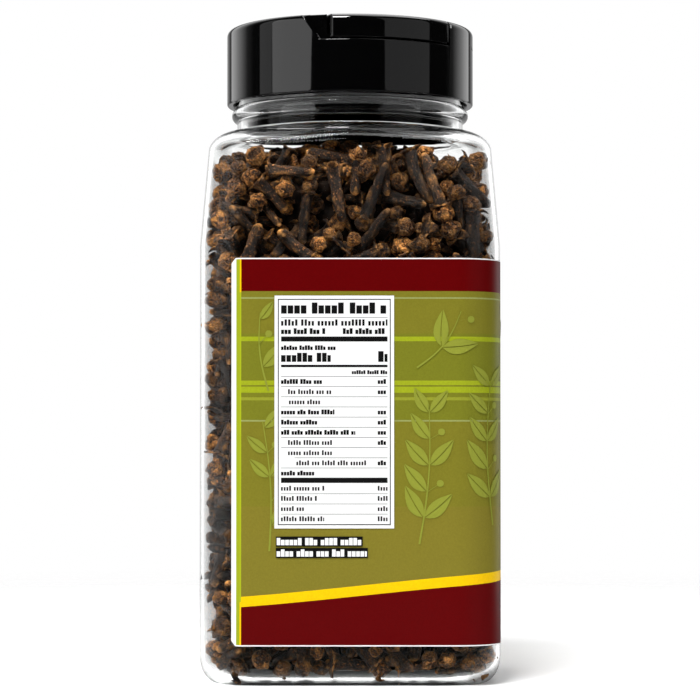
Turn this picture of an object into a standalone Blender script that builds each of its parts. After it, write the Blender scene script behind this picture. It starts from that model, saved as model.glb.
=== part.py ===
"""Square clear jar of whole cloves, with a round screw cap, a hinged pour flap and a wrap label.

Metres, +Z up. The origin is the middle of the base on the surface the jar stands on.
The front of the label faces -Y.
"""

import math
import random

import bmesh
import bpy
from mathutils import Matrix, Vector

MM = 0.001

# Jar body, a square with rounded corners that turns into a round neck
BODY_HALF = 32.9 * MM
CORNER_RADIUS = 10.0 * MM
WALL = 1.1 * MM
TAPER_START_Z = 95.0 * MM
SHOULDER_HALF = 31.1 * MM
SHOULDER_START_Z = 116.5 * MM
SHOULDER_TOP_Z = 122.4 * MM
NECK_RADIUS = 25.7 * MM
NECK_WALL = 1.3 * MM
LIP_Z = 139.2 * MM
BEAD_Z = 127.0 * MM
BEAD_HEIGHT = 2.8 * MM
BEAD_REACH = 1.2 * MM

# Base of the jar
FOOT_HALF = 28.6 * MM
FOOT_ROUND_HEIGHT = 6.5 * MM
FOOT_INNER_HALF = 24.0 * MM
PUSH_UP = 1.6 * MM
BASE_WALL = 1.7 * MM

# Cap
CAP_RADIUS = 28.0 * MM
CAP_BOTTOM_Z = 129.3 * MM
CAP_TOP_Z = 146.4 * MM
CAP_EDGE = 1.4 * MM
CAP_SKIRT = 1.4 * MM
CAP_RIM_ROUND = 0.6 * MM
CAP_TOP_WALL = 1.5 * MM
NECK_RING_OUTSIDE = 24.1 * MM
NECK_RING_INSIDE = 23.1 * MM
NECK_RING_LOW_Z = 124.6 * MM

# Flap in the cap, and the deck with the pour opening below it
FLAP_AZIMUTH = math.radians(21.7)
FLAP_HALF_WIDTH = 14.2 * MM
FLAP_LIP_Z = 141.2 * MM
FLAP_PLATE = 1.6 * MM
FLAP_LIP = 1.6 * MM
FLAP_GAP = 0.35 * MM
HINGE_REACH = 3.0 * MM
HINGE_Z = 146.2 * MM
DECK_TOP_Z = 140.8 * MM
DECK_WALL = 1.2 * MM
SEAT_WALL = 1.3 * MM
SEAT_HALF_WIDTH = 21.0 * MM
POUR_NEAR = 9.0 * MM
POUR_FAR = 20.5 * MM
POUR_HALF_WIDTH = 9.0 * MM

# Finger recess at the flap's left edge, as azimuths on the cap's side
RECESS_MIDDLE = math.radians(-15.5)
RECESS_TOP_LEFT = math.radians(-22.3)
RECESS_FOOT_LEFT = math.radians(-14.0)
RECESS_RIGHT = math.radians(-7.0)
RECESS_DEPTH = 1.7 * MM

# Wrap label, which leaves a clear strip round the front left corner
LABEL_LOW_Z = 8.8 * MM
LABEL_HIGH_Z = 92.5 * MM
LABEL_GAP = 0.3 * MM
LABEL_THICKNESS = 0.3 * MM
LABEL_START = math.radians(-128.1)
LABEL_END = math.radians(183.5)

# Cloves
FILL_GAP = 0.35 * MM
CORE_INSET = 2.6 * MM
CORE_EDGE_Z = 110.0 * MM
CORE_TOP_Z = 118.6 * MM
CLOVE_LENGTH = 15.5 * MM
CLOVE_STALK = 1.0 * MM
CLOVE_CROWN = 2.6 * MM
CLOVE_BUD = 2.2 * MM
CLOVE_SIDES = 5
TOP_ROWS = 6
TOP_PITCH = 8.4 * MM
SEED = 7

FLAT_STEPS = 5
CORNER_STEPS = 5
TURN_STEPS = 56
MERGE = 0.00001


def clear_scene():
    for thing in list(bpy.data.objects):
        bpy.data.objects.remove(thing, do_unlink=True)


def new_collection(name):
    collection = bpy.data.collections.new(name)
    bpy.context.scene.collection.children.link(collection)
    return collection


def new_object(name, mesh, collection):
    thing = bpy.data.objects.new(name, mesh)
    collection.objects.link(thing)
    return thing


def new_material(name, color, roughness, transmission=0.0):
    material = bpy.data.materials.new(name)
    material.use_nodes = True
    shader = material.node_tree.nodes["Principled BSDF"]
    shader.inputs["Base Color"].default_value = (*color, 1.0)
    shader.inputs["Roughness"].default_value = roughness
    shader.inputs["Metallic"].default_value = 0.0
    shader.inputs["Transmission Weight"].default_value = transmission
    return material


def shade(thing, material):
    thing.data.materials.clear()
    thing.data.materials.append(material)
    thing.data.shade_smooth()
    thing.data.set_sharp_from_angle(angle=math.radians(35))


# Jar sections


def reach(angle):
    """Distance from the axis to the body's side at an angle, for a body of half width 1."""
    round_part = CORNER_RADIUS / BODY_HALF
    across = abs(math.cos(angle))
    along = abs(math.sin(angle))
    flat = 1.0 / max(across, along)
    if flat * min(across, along) <= 1.0 - round_part:
        return flat
    centre = 1.0 - round_part
    middle = centre * (across + along)
    return middle + math.sqrt(middle**2 - 2 * centre**2 + round_part**2)


def quarter_angles():
    """Angles of one quarter's points, closer together round the corner."""
    corner_start = math.atan(1.0 - CORNER_RADIUS / BODY_HALF)
    corner_end = math.pi / 2 - corner_start
    flat_part = [corner_start * i / FLAT_STEPS * 2 for i in range(FLAT_STEPS // 2 + 1)]
    corner_part = [
        corner_start + (corner_end - corner_start) * i / CORNER_STEPS
        for i in range(CORNER_STEPS + 1)
    ]
    mirrored = [math.pi / 2 - angle for angle in reversed(flat_part[1:])]
    return flat_part + corner_part + mirrored


def ring_angles():
    return [math.pi / 2 * quarter + angle for quarter in range(4) for angle in quarter_angles()]


def section_point(angle, half, roundness, z):
    """A point of the section with this half width. Roundness 0 is the body's square, 1 a circle."""
    distance = half * ((1.0 - roundness) * reach(angle) + roundness)
    return Vector((distance * math.cos(angle), distance * math.sin(angle), z))


def round_from(start, end, turn_from, turn_to, steps):
    """Points of a quarter ellipse between two corners, as (half width, z, turn)."""
    points = []
    for i in range(steps + 1):
        turn = turn_from + (turn_to - turn_from) * i / steps
        points.append(
            (
                start[0] + (end[0] - start[0]) * math.cos(turn),
                start[1] + (end[1] - start[1]) * math.sin(turn),
                turn,
            )
        )
    return points


def outer_sections():
    """The jar's outside, from the middle of the base up to the lip."""
    sections = [
        (FOOT_INNER_HALF * 0.6, 0.0, PUSH_UP),
        (FOOT_INNER_HALF * 0.92, 0.0, PUSH_UP * 0.7),
        (FOOT_INNER_HALF, 0.0, 0.0),
    ]
    foot = round_from((FOOT_HALF, FOOT_ROUND_HEIGHT), (BODY_HALF, 0.0), math.pi / 2, 0.0, 5)
    sections += [(half, 0.0, z) for half, z, turn in foot]
    sections.append((BODY_HALF, 0.0, TAPER_START_Z))
    middle_z = (TAPER_START_Z + SHOULDER_START_Z) / 2
    sections.append(((BODY_HALF + SHOULDER_HALF) / 2, 0.0, middle_z))
    shoulder = round_from(
        (NECK_RADIUS, SHOULDER_START_Z), (SHOULDER_HALF, SHOULDER_TOP_Z), 0.0, math.pi / 2, 6
    )
    sections += [(half, 1.0 - math.cos(turn), z) for half, z, turn in shoulder]
    for i in range(5):
        turn = math.pi * (i / 4 - 0.5)
        radius = NECK_RADIUS + BEAD_REACH * math.cos(turn)
        sections.append((radius, 1.0, BEAD_Z + BEAD_HEIGHT / 2 * math.sin(turn)))
    sections.append((NECK_RADIUS, 1.0, LIP_Z))
    return sections


def inner_sections():
    """The jar's inside, from the lip down to the middle of the floor."""
    neck = NECK_RADIUS - NECK_WALL
    sections = [(neck, 1.0, LIP_Z), (neck, 1.0, SHOULDER_TOP_Z)]
    shoulder = round_from(
        (neck - WALL, SHOULDER_START_Z),
        (SHOULDER_HALF - WALL, SHOULDER_TOP_Z - WALL),
        math.pi / 2,
        0.0,
        5,
    )
    sections += [(half, 1.0 - math.cos(turn), z) for half, z, turn in shoulder]
    middle_z = (TAPER_START_Z + SHOULDER_START_Z) / 2
    sections.append(((BODY_HALF + SHOULDER_HALF) / 2 - WALL, 0.0, middle_z))
    sections.append((BODY_HALF - WALL, 0.0, TAPER_START_Z))
    foot = round_from(
        (FOOT_HALF - WALL, FOOT_ROUND_HEIGHT), (BODY_HALF - WALL, BASE_WALL), 0.0, math.pi / 2, 4
    )
    sections += [(half, 0.0, z) for half, z, turn in foot]
    sections.append((FOOT_INNER_HALF, 0.0, BASE_WALL))
    sections.append((FOOT_INNER_HALF * 0.92, 0.0, BASE_WALL + PUSH_UP * 0.7))
    sections.append((FOOT_INNER_HALF * 0.6, 0.0, BASE_WALL + PUSH_UP))
    return sections


def free_half(z):
    """Half width of the space inside the jar at a height, with the cloves' gap taken off."""
    foot_top = FOOT_ROUND_HEIGHT
    low_half = FOOT_HALF - WALL
    straight_half = BODY_HALF - WALL
    if z < foot_top:
        depth = min(1.0, (foot_top - z) / (foot_top - BASE_WALL))
        half = low_half + (straight_half - low_half) * math.sqrt(1.0 - depth**2)
    elif z < TAPER_START_Z:
        half = straight_half
    elif z < SHOULDER_START_Z:
        share = (z - TAPER_START_Z) / (SHOULDER_START_Z - TAPER_START_Z)
        half = straight_half + (SHOULDER_HALF - BODY_HALF) * share
    else:
        height = SHOULDER_TOP_Z - WALL - SHOULDER_START_Z
        depth = min(1.0, (z - SHOULDER_START_Z) / height)
        neck = NECK_RADIUS - NECK_WALL - WALL
        half = neck + (SHOULDER_HALF - WALL - neck) * math.sqrt(1.0 - depth**2)
    return half - FILL_GAP


def loft(name, sections, angles):
    """A closed body through the sections, with its first and last ring closed by a fan."""
    bm = bmesh.new()
    rings = [
        [bm.verts.new(section_point(angle, half, roundness, z)) for angle in angles]
        for half, roundness, z in sections
    ]
    count = len(angles)
    for lower, upper in zip(rings, rings[1:]):
        for i in range(count):
            j = (i + 1) % count
            bm.faces.new((lower[i], lower[j], upper[j], upper[i]))
    for ring in (rings[0], rings[-1]):
        bmesh.ops.contextual_create(bm, geom=ring)
    bmesh.ops.recalc_face_normals(bm, faces=bm.faces)
    mesh = bpy.data.meshes.new(name)
    bm.to_mesh(mesh)
    bm.free()
    return mesh


def build_jar(parts):
    mesh = loft("jar", outer_sections() + inner_sections(), ring_angles())
    jar = new_object("jar", mesh, parts)
    shade(jar, new_material("clear_plastic", (0.95, 0.97, 0.97), 0.03, transmission=1.0))


# Cap and flap


def flap_frame(forward, sideways, z=0.0):
    """A point given by its distance towards the flap and to the flap's right."""
    out = Vector((math.sin(FLAP_AZIMUTH), -math.cos(FLAP_AZIMUTH), 0.0))
    right = Vector((math.cos(FLAP_AZIMUTH), math.sin(FLAP_AZIMUTH), 0.0))
    return out * forward + right * sideways + Vector((0.0, 0.0, z))


def turned(name, profile, collection):
    """A solid of revolution. The profile is (radius, z) from the top of the axis downwards."""
    bm = bmesh.new()
    verts = [bm.verts.new((radius, 0.0, z)) for radius, z in profile]
    for upper, lower in zip(verts, verts[1:]):
        bm.edges.new((upper, lower))
    mesh = bpy.data.meshes.new(name)
    bm.to_mesh(mesh)
    bm.free()
    thing = new_object(name, mesh, collection)
    screw = thing.modifiers.new("turn", "SCREW")
    screw.axis = "Z"
    screw.angle = math.tau
    screw.steps = TURN_STEPS
    screw.render_steps = TURN_STEPS
    screw.use_merge_vertices = True
    screw.merge_threshold = MERGE
    return thing


def edge_profile():
    """The rounded top edge that the cap and its flap share."""
    points = [(0.0, CAP_TOP_Z)]
    for i in range(5):
        turn = math.pi / 2 * (1.0 - i / 4)
        radius = CAP_RADIUS - CAP_EDGE + CAP_EDGE * math.cos(turn)
        points.append((radius, CAP_TOP_Z - CAP_EDGE + CAP_EDGE * math.sin(turn)))
    return points


def prism(name, outline, low_z, high_z, collection):
    """An upright block on an outline given in the flap's own directions."""
    bm = bmesh.new()
    floor = [bm.verts.new(flap_frame(forward, sideways, low_z)) for forward, sideways in outline]
    face = bmesh.ops.contextual_create(bm, geom=floor)["faces"][0]
    top = bmesh.ops.extrude_face_region(bm, geom=[face])["geom"]
    moved = [item for item in top if isinstance(item, bmesh.types.BMVert)]
    bmesh.ops.translate(bm, verts=moved, vec=(0.0, 0.0, high_z - low_z))
    bmesh.ops.recalc_face_normals(bm, faces=bm.faces)
    mesh = bpy.data.meshes.new(name)
    bm.to_mesh(mesh)
    bm.free()
    return new_object(name, mesh, collection)


def flap_outline(near, half_width, radius):
    """A strip from the hinge line out to a circle round the cap's axis."""
    half_turn = math.asin(half_width / radius)
    outline = [(near, -half_width)]
    for i in range(9):
        turn = half_turn * (i / 4 - 1.0)
        outline.append((radius * math.cos(turn), radius * math.sin(turn)))
    outline.append((near, half_width))
    return outline


def hide_cutter(cutter):
    cutter.hide_render = True
    cutter.display_type = "WIRE"


def finished_mesh(thing):
    """The object's mesh with its modifiers applied."""
    evaluated = thing.evaluated_get(bpy.context.evaluated_depsgraph_get())
    return bpy.data.meshes.new_from_object(evaluated)


def combine(thing, other, operation):
    hide_cutter(other)
    boolean = thing.modifiers.new(other.name, "BOOLEAN")
    boolean.operation = operation
    boolean.object = other


def recess_cutter(cutters):
    """A sloping block that cuts the finger recess into the cap's side."""
    out = Vector((math.sin(RECESS_MIDDLE), -math.cos(RECESS_MIDDLE), 0.0))
    right = Vector((math.cos(RECESS_MIDDLE), math.sin(RECESS_MIDDLE), 0.0))
    above = CAP_TOP_Z + 2 * MM
    slope = (RECESS_TOP_LEFT - RECESS_FOOT_LEFT) / (CAP_TOP_Z - DECK_TOP_Z)
    top_left = RECESS_FOOT_LEFT + slope * (above - DECK_TOP_Z)
    corners = [
        (top_left, above),
        (RECESS_FOOT_LEFT, DECK_TOP_Z),
        (RECESS_RIGHT, DECK_TOP_Z),
        (RECESS_RIGHT, above),
    ]
    bm = bmesh.new()
    face_verts = []
    for azimuth, z in corners:
        sideways = CAP_RADIUS * math.sin(azimuth - RECESS_MIDDLE)
        point = out * (CAP_RADIUS - RECESS_DEPTH) + right * sideways
        face_verts.append(bm.verts.new(point + Vector((0.0, 0.0, z))))
    face = bmesh.ops.contextual_create(bm, geom=face_verts)["faces"][0]
    grown = bmesh.ops.extrude_face_region(bm, geom=[face])["geom"]
    moved = [item for item in grown if isinstance(item, bmesh.types.BMVert)]
    bmesh.ops.translate(bm, verts=moved, vec=out * (RECESS_DEPTH + 3 * MM))
    bmesh.ops.recalc_face_normals(bm, faces=bm.faces)
    mesh = bpy.data.meshes.new("finger_recess")
    bm.to_mesh(mesh)
    bm.free()
    return new_object("finger_recess", mesh, cutters)


def build_cap(parts, cutters, plastic):
    """The screw cap with its skirt, the ring that seals inside the neck, and the flap's seat."""
    skirt_inside = CAP_RADIUS - CAP_SKIRT
    ceiling = CAP_TOP_Z - CAP_TOP_WALL
    profile = edge_profile() + [
        (CAP_RADIUS, CAP_BOTTOM_Z + CAP_RIM_ROUND),
        (CAP_RADIUS - CAP_RIM_ROUND / 2, CAP_BOTTOM_Z),
        (skirt_inside + CAP_RIM_ROUND / 2, CAP_BOTTOM_Z),
        (skirt_inside, CAP_BOTTOM_Z + CAP_RIM_ROUND),
        (skirt_inside, ceiling),
        (NECK_RING_OUTSIDE, ceiling),
        (NECK_RING_OUTSIDE, NECK_RING_LOW_Z),
        (NECK_RING_INSIDE, NECK_RING_LOW_Z),
        (NECK_RING_INSIDE, ceiling),
        (0.0, ceiling),
    ]
    cap = turned("cap", profile, parts)
    seat_outline = flap_outline(HINGE_REACH - SEAT_WALL, SEAT_HALF_WIDTH, CAP_RADIUS - 0.7 * MM)
    seat = prism(
        "flap_seat", seat_outline, DECK_TOP_Z - DECK_WALL, CAP_TOP_Z - 0.5 * MM, cutters
    )
    combine(cap, seat, "UNION")
    pocket_outline = flap_outline(HINGE_REACH, FLAP_HALF_WIDTH, CAP_RADIUS + 3 * MM)
    pocket = prism("flap_pocket", pocket_outline, DECK_TOP_Z, CAP_TOP_Z + 2 * MM, cutters)
    combine(cap, pocket, "DIFFERENCE")
    combine(cap, recess_cutter(cutters), "DIFFERENCE")
    pour_outline = flap_outline(POUR_NEAR, POUR_HALF_WIDTH, POUR_FAR)
    low_z = DECK_TOP_Z - 2 * DECK_WALL
    pour = prism("pour_opening", pour_outline, low_z, DECK_TOP_Z + DECK_WALL, cutters)
    combine(cap, pour, "DIFFERENCE")
    shade(cap, plastic)


def build_flap(parts, cutters, plastic):
    profile = edge_profile() + [(CAP_RADIUS, FLAP_LIP_Z), (0.0, FLAP_LIP_Z)]
    flap = turned("flap", profile, parts)
    near = HINGE_REACH + FLAP_GAP
    half_width = FLAP_HALF_WIDTH - FLAP_GAP
    outline = flap_outline(near, half_width, CAP_RADIUS + 3 * MM)
    shape = prism("flap_shape", outline, FLAP_LIP_Z - MM, CAP_TOP_Z + MM, cutters)
    combine(flap, shape, "INTERSECT")
    under_outline = flap_outline(-near, half_width + 2 * MM, CAP_RADIUS - FLAP_LIP)
    under = prism("flap_underside", under_outline, FLAP_LIP_Z - MM, CAP_TOP_Z - FLAP_PLATE, cutters)
    combine(flap, under, "DIFFERENCE")
    hinge = flap_frame(HINGE_REACH, 0.0, HINGE_Z)
    flap.data = finished_mesh(flap)
    flap.data.name = "flap"
    flap.modifiers.clear()
    flap.data.transform(Matrix.Translation(-hinge))
    flap.location = hinge
    shade(flap, plastic)


# Label


def label_angles():
    """The jar's own ring angles that the label covers, with its two ends added."""
    whole_turns = [angle + math.tau * turn for turn in (-1, 0, 1) for angle in ring_angles()]
    between = [angle for angle in whole_turns if LABEL_START < angle < LABEL_END]
    return [LABEL_START] + sorted(between) + [LABEL_END]


def build_label(parts):
    half = BODY_HALF + LABEL_GAP
    bm = bmesh.new()
    columns = [
        [bm.verts.new(section_point(angle, half, 0.0, z)) for z in (LABEL_LOW_Z, LABEL_HIGH_Z)]
        for angle in label_angles()
    ]
    for left, right in zip(columns, columns[1:]):
        bm.faces.new((left[0], right[0], right[1], left[1]))
    mesh = bpy.data.meshes.new("label")
    bm.to_mesh(mesh)
    bm.free()
    label = new_object("label", mesh, parts)
    solidify = label.modifiers.new("thickness", "SOLIDIFY")
    solidify.thickness = LABEL_THICKNESS
    solidify.offset = 1.0
    shade(label, new_material("printed_label", (0.262, 0.238, 0.026), 0.4))


# Cloves


def clove_mesh(shapes):
    """One whole clove along +Z, centred: a stalk that widens to the crown, then the round bud."""
    profile = [
        (0.0, CLOVE_LENGTH / 2),
        (CLOVE_BUD * 0.5, CLOVE_LENGTH * 0.485),
        (CLOVE_BUD, CLOVE_LENGTH * 0.36),
        (CLOVE_CROWN, CLOVE_LENGTH * 0.21),
        (CLOVE_STALK * 1.7, CLOVE_LENGTH * 0.08),
        (CLOVE_STALK, -CLOVE_LENGTH / 2),
        (0.0, -CLOVE_LENGTH / 2),
    ]
    blank = turned("clove_blank", profile, shapes)
    blank.modifiers["turn"].steps = CLOVE_SIDES
    blank.modifiers["turn"].render_steps = CLOVE_SIDES
    mesh = finished_mesh(blank)
    bpy.data.objects.remove(blank, do_unlink=True)
    return mesh


def core_height(x, y):
    """Height of the core's domed top."""
    half = free_half(CORE_EDGE_Z) - CORE_INSET
    share = min(1.0, math.hypot(x, y) / (half * 1.25))
    return CORE_TOP_Z - (CORE_TOP_Z - CORE_EDGE_Z) * share**2


def core_sections():
    low_z = BASE_WALL + PUSH_UP + CORE_INSET
    sections = [
        (free_half(low_z) - 2 * CORE_INSET, 0.0, low_z),
        (free_half(FOOT_ROUND_HEIGHT) - CORE_INSET, 0.0, FOOT_ROUND_HEIGHT + CORE_INSET),
        (free_half(TAPER_START_Z) - CORE_INSET, 0.0, TAPER_START_Z),
    ]
    edge_half = free_half(CORE_EDGE_Z) - CORE_INSET
    for share in (1.0, 0.85, 0.5, 0.15):
        half = edge_half * share
        sections.append((half, (1.0 - share) ** 2, core_height(half, 0.0)))
    return sections


def fits(mesh, place):
    """True if every point of the mesh, once placed, lies in the jar's free space."""
    floor = BASE_WALL + PUSH_UP + FILL_GAP
    for vert in mesh.vertices:
        point = place @ vert.co
        angle = math.atan2(point.y, point.x)
        limit = free_half(point.z)
        if point.z > SHOULDER_START_Z:
            limit = min(limit, NECK_RADIUS)
            allowed = limit
        else:
            allowed = limit * reach(angle)
        if point.z < floor or math.hypot(point.x, point.y) > allowed:
            return False
    return True


def placed(mesh, centre, direction, spin):
    turn = direction.to_track_quat("Z", "Y").to_matrix().to_4x4()
    return Matrix.Translation(centre) @ turn @ Matrix.Rotation(spin, 4, "Z")


def wall_seats(draw):
    """Places for cloves along the walls: the angle round the jar, the height, and how far a clove may lean."""
    rows = []
    for row, z in enumerate((97.5 * MM, 104.5 * MM, 111.0 * MM)):
        rows += [(z, 360.0 * (i + row / 3) / 25, 1.0) for i in range(25)]
    for row in range(7):
        z = LABEL_LOW_Z + CLOVE_LENGTH * (row + 0.4) * 0.75
        rows += [(z, 187.0 + 15.0 * i + 6.0 * (row % 2), 1.0) for i in range(3)]
    rows += [(7.6 * MM, 360.0 * i / 13, 3.4) for i in range(13)]
    for z, degrees, lie in rows:
        angle = math.radians(degrees + draw.uniform(-3.0, 3.0))
        height = z + draw.uniform(-1.5, 1.5) * MM
        yield angle, height, lie


def place_on_wall(mesh, angle, z, lie, draw):
    outward = Vector((math.cos(angle), math.sin(angle), 0.0))
    tangent = Vector((-math.sin(angle), math.cos(angle), 0.0))
    lean = draw.uniform(-0.45, 0.45) * lie
    up = draw.choice((-1.0, 1.0))
    direction = (Vector((0.0, 0.0, up)) * math.cos(lean) + tangent * math.sin(lean)).normalized()
    spin = draw.uniform(0.0, math.tau)
    inset = CLOVE_CROWN
    while inset < 3 * CLOVE_CROWN:
        centre = section_point(angle, free_half(z) - inset, 0.0, z)
        place = placed(mesh, centre, direction, spin)
        if fits(mesh, place):
            return place
        inset += 0.3 * MM
    return None


def place_on_top(mesh, x, y, draw):
    heading = draw.uniform(0.0, math.tau)
    lift = draw.uniform(-0.2, 0.35)
    direction = Vector((math.cos(heading), math.sin(heading), lift)).normalized()
    centre = Vector((x, y, core_height(x, y) + 0.9 * MM))
    spin = draw.uniform(0.0, math.tau)
    for step in range(8):
        pulled = centre * (1.0 - 0.04 * step)
        pulled.z = centre.z - 0.3 * MM * step
        place = placed(mesh, pulled, direction, spin)
        if fits(mesh, place):
            return place
    return None


def clove_places(mesh):
    draw = random.Random(SEED)
    places = [place_on_wall(mesh, angle, z, lie, draw) for angle, z, lie in wall_seats(draw)]
    for row in range(TOP_ROWS):
        for column in range(TOP_ROWS):
            x = TOP_PITCH * (column - (TOP_ROWS - 1) / 2 + draw.uniform(-0.3, 0.3))
            y = TOP_PITCH * (row - (TOP_ROWS - 1) / 2 + draw.uniform(-0.3, 0.3))
            places.append(place_on_top(mesh, x, y, draw))
    return [place for place in places if place is not None]


def keep_outer_shell(mesh):
    """Fills what fusing sealed and drops loose scraps, by keeping the largest shell alone."""
    bm = bmesh.new()
    bm.from_mesh(mesh)
    bmesh.ops.remove_doubles(bm, verts=bm.verts, dist=MERGE)
    left = set(bm.verts)
    shells = []
    while left:
        shell = set()
        queue = [left.pop()]
        while queue:
            vert = queue.pop()
            shell.add(vert)
            for edge in vert.link_edges:
                other = edge.other_vert(vert)
                if other in left:
                    left.remove(other)
                    queue.append(other)
        shells.append(shell)
    shells.sort(key=len)
    for shell in shells[:-1]:
        bmesh.ops.delete(bm, geom=list(shell), context="VERTS")
    bm.to_mesh(mesh)
    bm.free()


def build_cloves(parts):
    shapes = new_collection("clove_shapes")
    clove = clove_mesh(shapes)
    places = clove_places(clove)
    core_angles = ring_angles()[::2]
    core = new_object("cloves", loft("cloves", core_sections(), core_angles), parts)
    for number, place in enumerate(places):
        piece = new_object("clove_%d" % number, clove.copy(), shapes)
        piece.data.transform(place)
    union = core.modifiers.new("heap", "BOOLEAN")
    union.operation = "UNION"
    union.operand_type = "COLLECTION"
    union.collection = shapes
    heap = finished_mesh(core)
    core.modifiers.clear()
    core.data = heap
    for piece in list(shapes.objects):
        bpy.data.objects.remove(piece, do_unlink=True)
    bpy.data.collections.remove(shapes)
    keep_outer_shell(heap)
    shade(core, new_material("clove_brown", (0.090, 0.040, 0.018), 0.75))


def main():
    clear_scene()
    parts = new_collection("clove_jar")
    cutters = new_collection("cutters")
    plastic = new_material("black_plastic", (0.012, 0.012, 0.013), 0.12)
    build_jar(parts)
    build_cap(parts, cutters, plastic)
    build_flap(parts, cutters, plastic)
    build_label(parts)
    build_cloves(parts)


main()
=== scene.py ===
import math
import random

import bmesh
import bpy
import numpy as np
from mathutils import Matrix, Vector, noise


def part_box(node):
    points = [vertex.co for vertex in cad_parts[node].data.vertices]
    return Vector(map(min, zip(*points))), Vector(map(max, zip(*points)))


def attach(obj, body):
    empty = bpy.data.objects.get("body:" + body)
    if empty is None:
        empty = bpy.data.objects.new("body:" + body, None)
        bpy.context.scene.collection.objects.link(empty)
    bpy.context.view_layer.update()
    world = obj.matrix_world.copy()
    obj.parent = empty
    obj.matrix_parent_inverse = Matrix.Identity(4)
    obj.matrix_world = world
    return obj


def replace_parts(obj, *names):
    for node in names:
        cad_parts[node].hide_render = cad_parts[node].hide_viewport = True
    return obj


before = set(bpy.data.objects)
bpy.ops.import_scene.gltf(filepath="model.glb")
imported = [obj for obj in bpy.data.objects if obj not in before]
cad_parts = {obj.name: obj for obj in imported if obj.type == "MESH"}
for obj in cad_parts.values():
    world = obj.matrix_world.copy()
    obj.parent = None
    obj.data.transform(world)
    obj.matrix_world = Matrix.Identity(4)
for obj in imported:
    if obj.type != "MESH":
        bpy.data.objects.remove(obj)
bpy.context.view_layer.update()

# Clear square jar of whole cloves with a black flip-top cap and a printed wrap label.
# Metres, +Z up, the label's front towards -Y, in the frame of the solids.
mm = 0.001
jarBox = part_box("jar")
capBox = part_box("cap")
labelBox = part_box("label")
scene = bpy.context.scene
noise.seed_set(4)  # noise vectors depend on this seed, so every run gives the same cloves


# Camera and studio

cameraSetup = {
    "distance": 612.0 * mm,  # level with the middle of the label, a long way off
    "height": 51.06 * mm,
    "lens": 138.2,
    "pitch": 1.236,  # degrees up
    "shift": 0.06,
}


def addCamera():
    data = bpy.data.cameras.new("camera")
    data.sensor_width = 36.0
    data.lens = cameraSetup["lens"]
    data.shift_y = cameraSetup["shift"]
    data.clip_start = 0.01
    data.clip_end = 50.0
    camera = bpy.data.objects.new("camera", data)
    camera.location = (0.0, -cameraSetup["distance"], cameraSetup["height"])
    camera.rotation_euler = (math.radians(90.0 + cameraSetup["pitch"]), 0.0, 0.0)
    scene.collection.objects.link(camera)
    scene.camera = camera


addCamera()
scene.view_settings.view_transform = "Standard"
print("camera placed")


# Shader building

def newMaterial(name):
    material = bpy.data.materials.new(name)
    material.use_nodes = True
    material.node_tree.nodes.clear()
    return material, material.node_tree


def addNode(tree, kind, settings=None, inputs=None):
    node = tree.nodes.new(kind)
    for key, value in (settings or {}).items():
        setattr(node, key, value)
    for key, value in (inputs or {}).items():
        if isinstance(value, bpy.types.NodeSocket):
            tree.links.new(value, node.inputs[key])
        else:
            node.inputs[key].default_value = value
    return node


def calc(tree, operation, first, second=0.0, clamp=False):
    settings = {"operation": operation, "use_clamp": clamp}
    return addNode(tree, "ShaderNodeMath", settings, {0: first, 1: second}).outputs[0]


def mixColour(tree, share, first, second, blend="MIX"):
    settings = {"data_type": "RGBA", "blend_type": blend}
    node = addNode(tree, "ShaderNodeMix", settings, {"Factor": share})
    for socket, value in ((node.inputs[6], first), (node.inputs[7], second)):
        if isinstance(value, bpy.types.NodeSocket):
            tree.links.new(value, socket)
        else:
            socket.default_value = (*value, 1.0)
    return node.outputs[2]


def ramp(tree, value, stops, interpolation="LINEAR"):
    # stops are (place, colour), from low to high
    node = addNode(tree, "ShaderNodeValToRGB", None, {"Fac": value})
    band = node.color_ramp
    band.interpolation = interpolation
    while len(band.elements) < len(stops):
        band.elements.new(1.0)
    for element, (place, colour) in zip(band.elements, stops):
        element.position = place
        element.color = (*colour, 1.0) if isinstance(colour, tuple) else (colour, colour, colour, 1.0)
    return node.outputs["Color"]


def noiseValue(tree, vector, scale, detail=3.0, roughness=0.5, distortion=0.0):
    inputs = {"Vector": vector, "Scale": scale, "Detail": detail, "Roughness": roughness,
              "Distortion": distortion}
    return addNode(tree, "ShaderNodeTexNoise", None, inputs).outputs["Fac"]


def bumpFrom(tree, height, strength, distance):
    inputs = {"Height": height, "Strength": strength, "Distance": distance}
    return addNode(tree, "ShaderNodeBump", None, inputs).outputs["Normal"]


def objectPlace(tree):
    return addNode(tree, "ShaderNodeTexCoord").outputs["Object"]


def finishMaterial(tree, shader):
    output = addNode(tree, "ShaderNodeOutputMaterial")
    tree.links.new(shader, output.inputs["Surface"])


# Shape building

def wrappedGrid(columns, rows, place):
    # a grid whose corners go where place(across, along) says, both running from 0 to 1
    bm = bmesh.new()
    bm.loops.layers.uv.new("UVMap")
    bmesh.ops.create_grid(bm, x_segments=columns, y_segments=rows, size=0.5, calc_uvs=True)
    for vert in bm.verts:
        vert.co = place(vert.co.x + 0.5, vert.co.y + 0.5)
    return bm


def closeSkin(bm):
    bmesh.ops.remove_doubles(bm, verts=bm.verts, dist=0.0005 * mm)
    bmesh.ops.dissolve_degenerate(bm, dist=0.0005 * mm, edges=bm.edges)
    bmesh.ops.recalc_face_normals(bm, faces=bm.faces)
    return bm


def turned(profile, steps):
    # a solid of revolution from (radius, height) points
    bm = bmesh.new()
    verts = [bm.verts.new((radius, 0.0, z)) for radius, z in profile]
    edges = [bm.edges.new(pair) for pair in zip(verts, verts[1:])]
    bmesh.ops.spin(bm, geom=verts + edges, cent=(0.0, 0.0, 0.0), axis=(0.0, 0.0, 1.0),
                   dvec=(0.0, 0.0, 0.0), angle=math.tau, steps=steps, use_merge=True)
    return closeSkin(bm)


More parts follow.
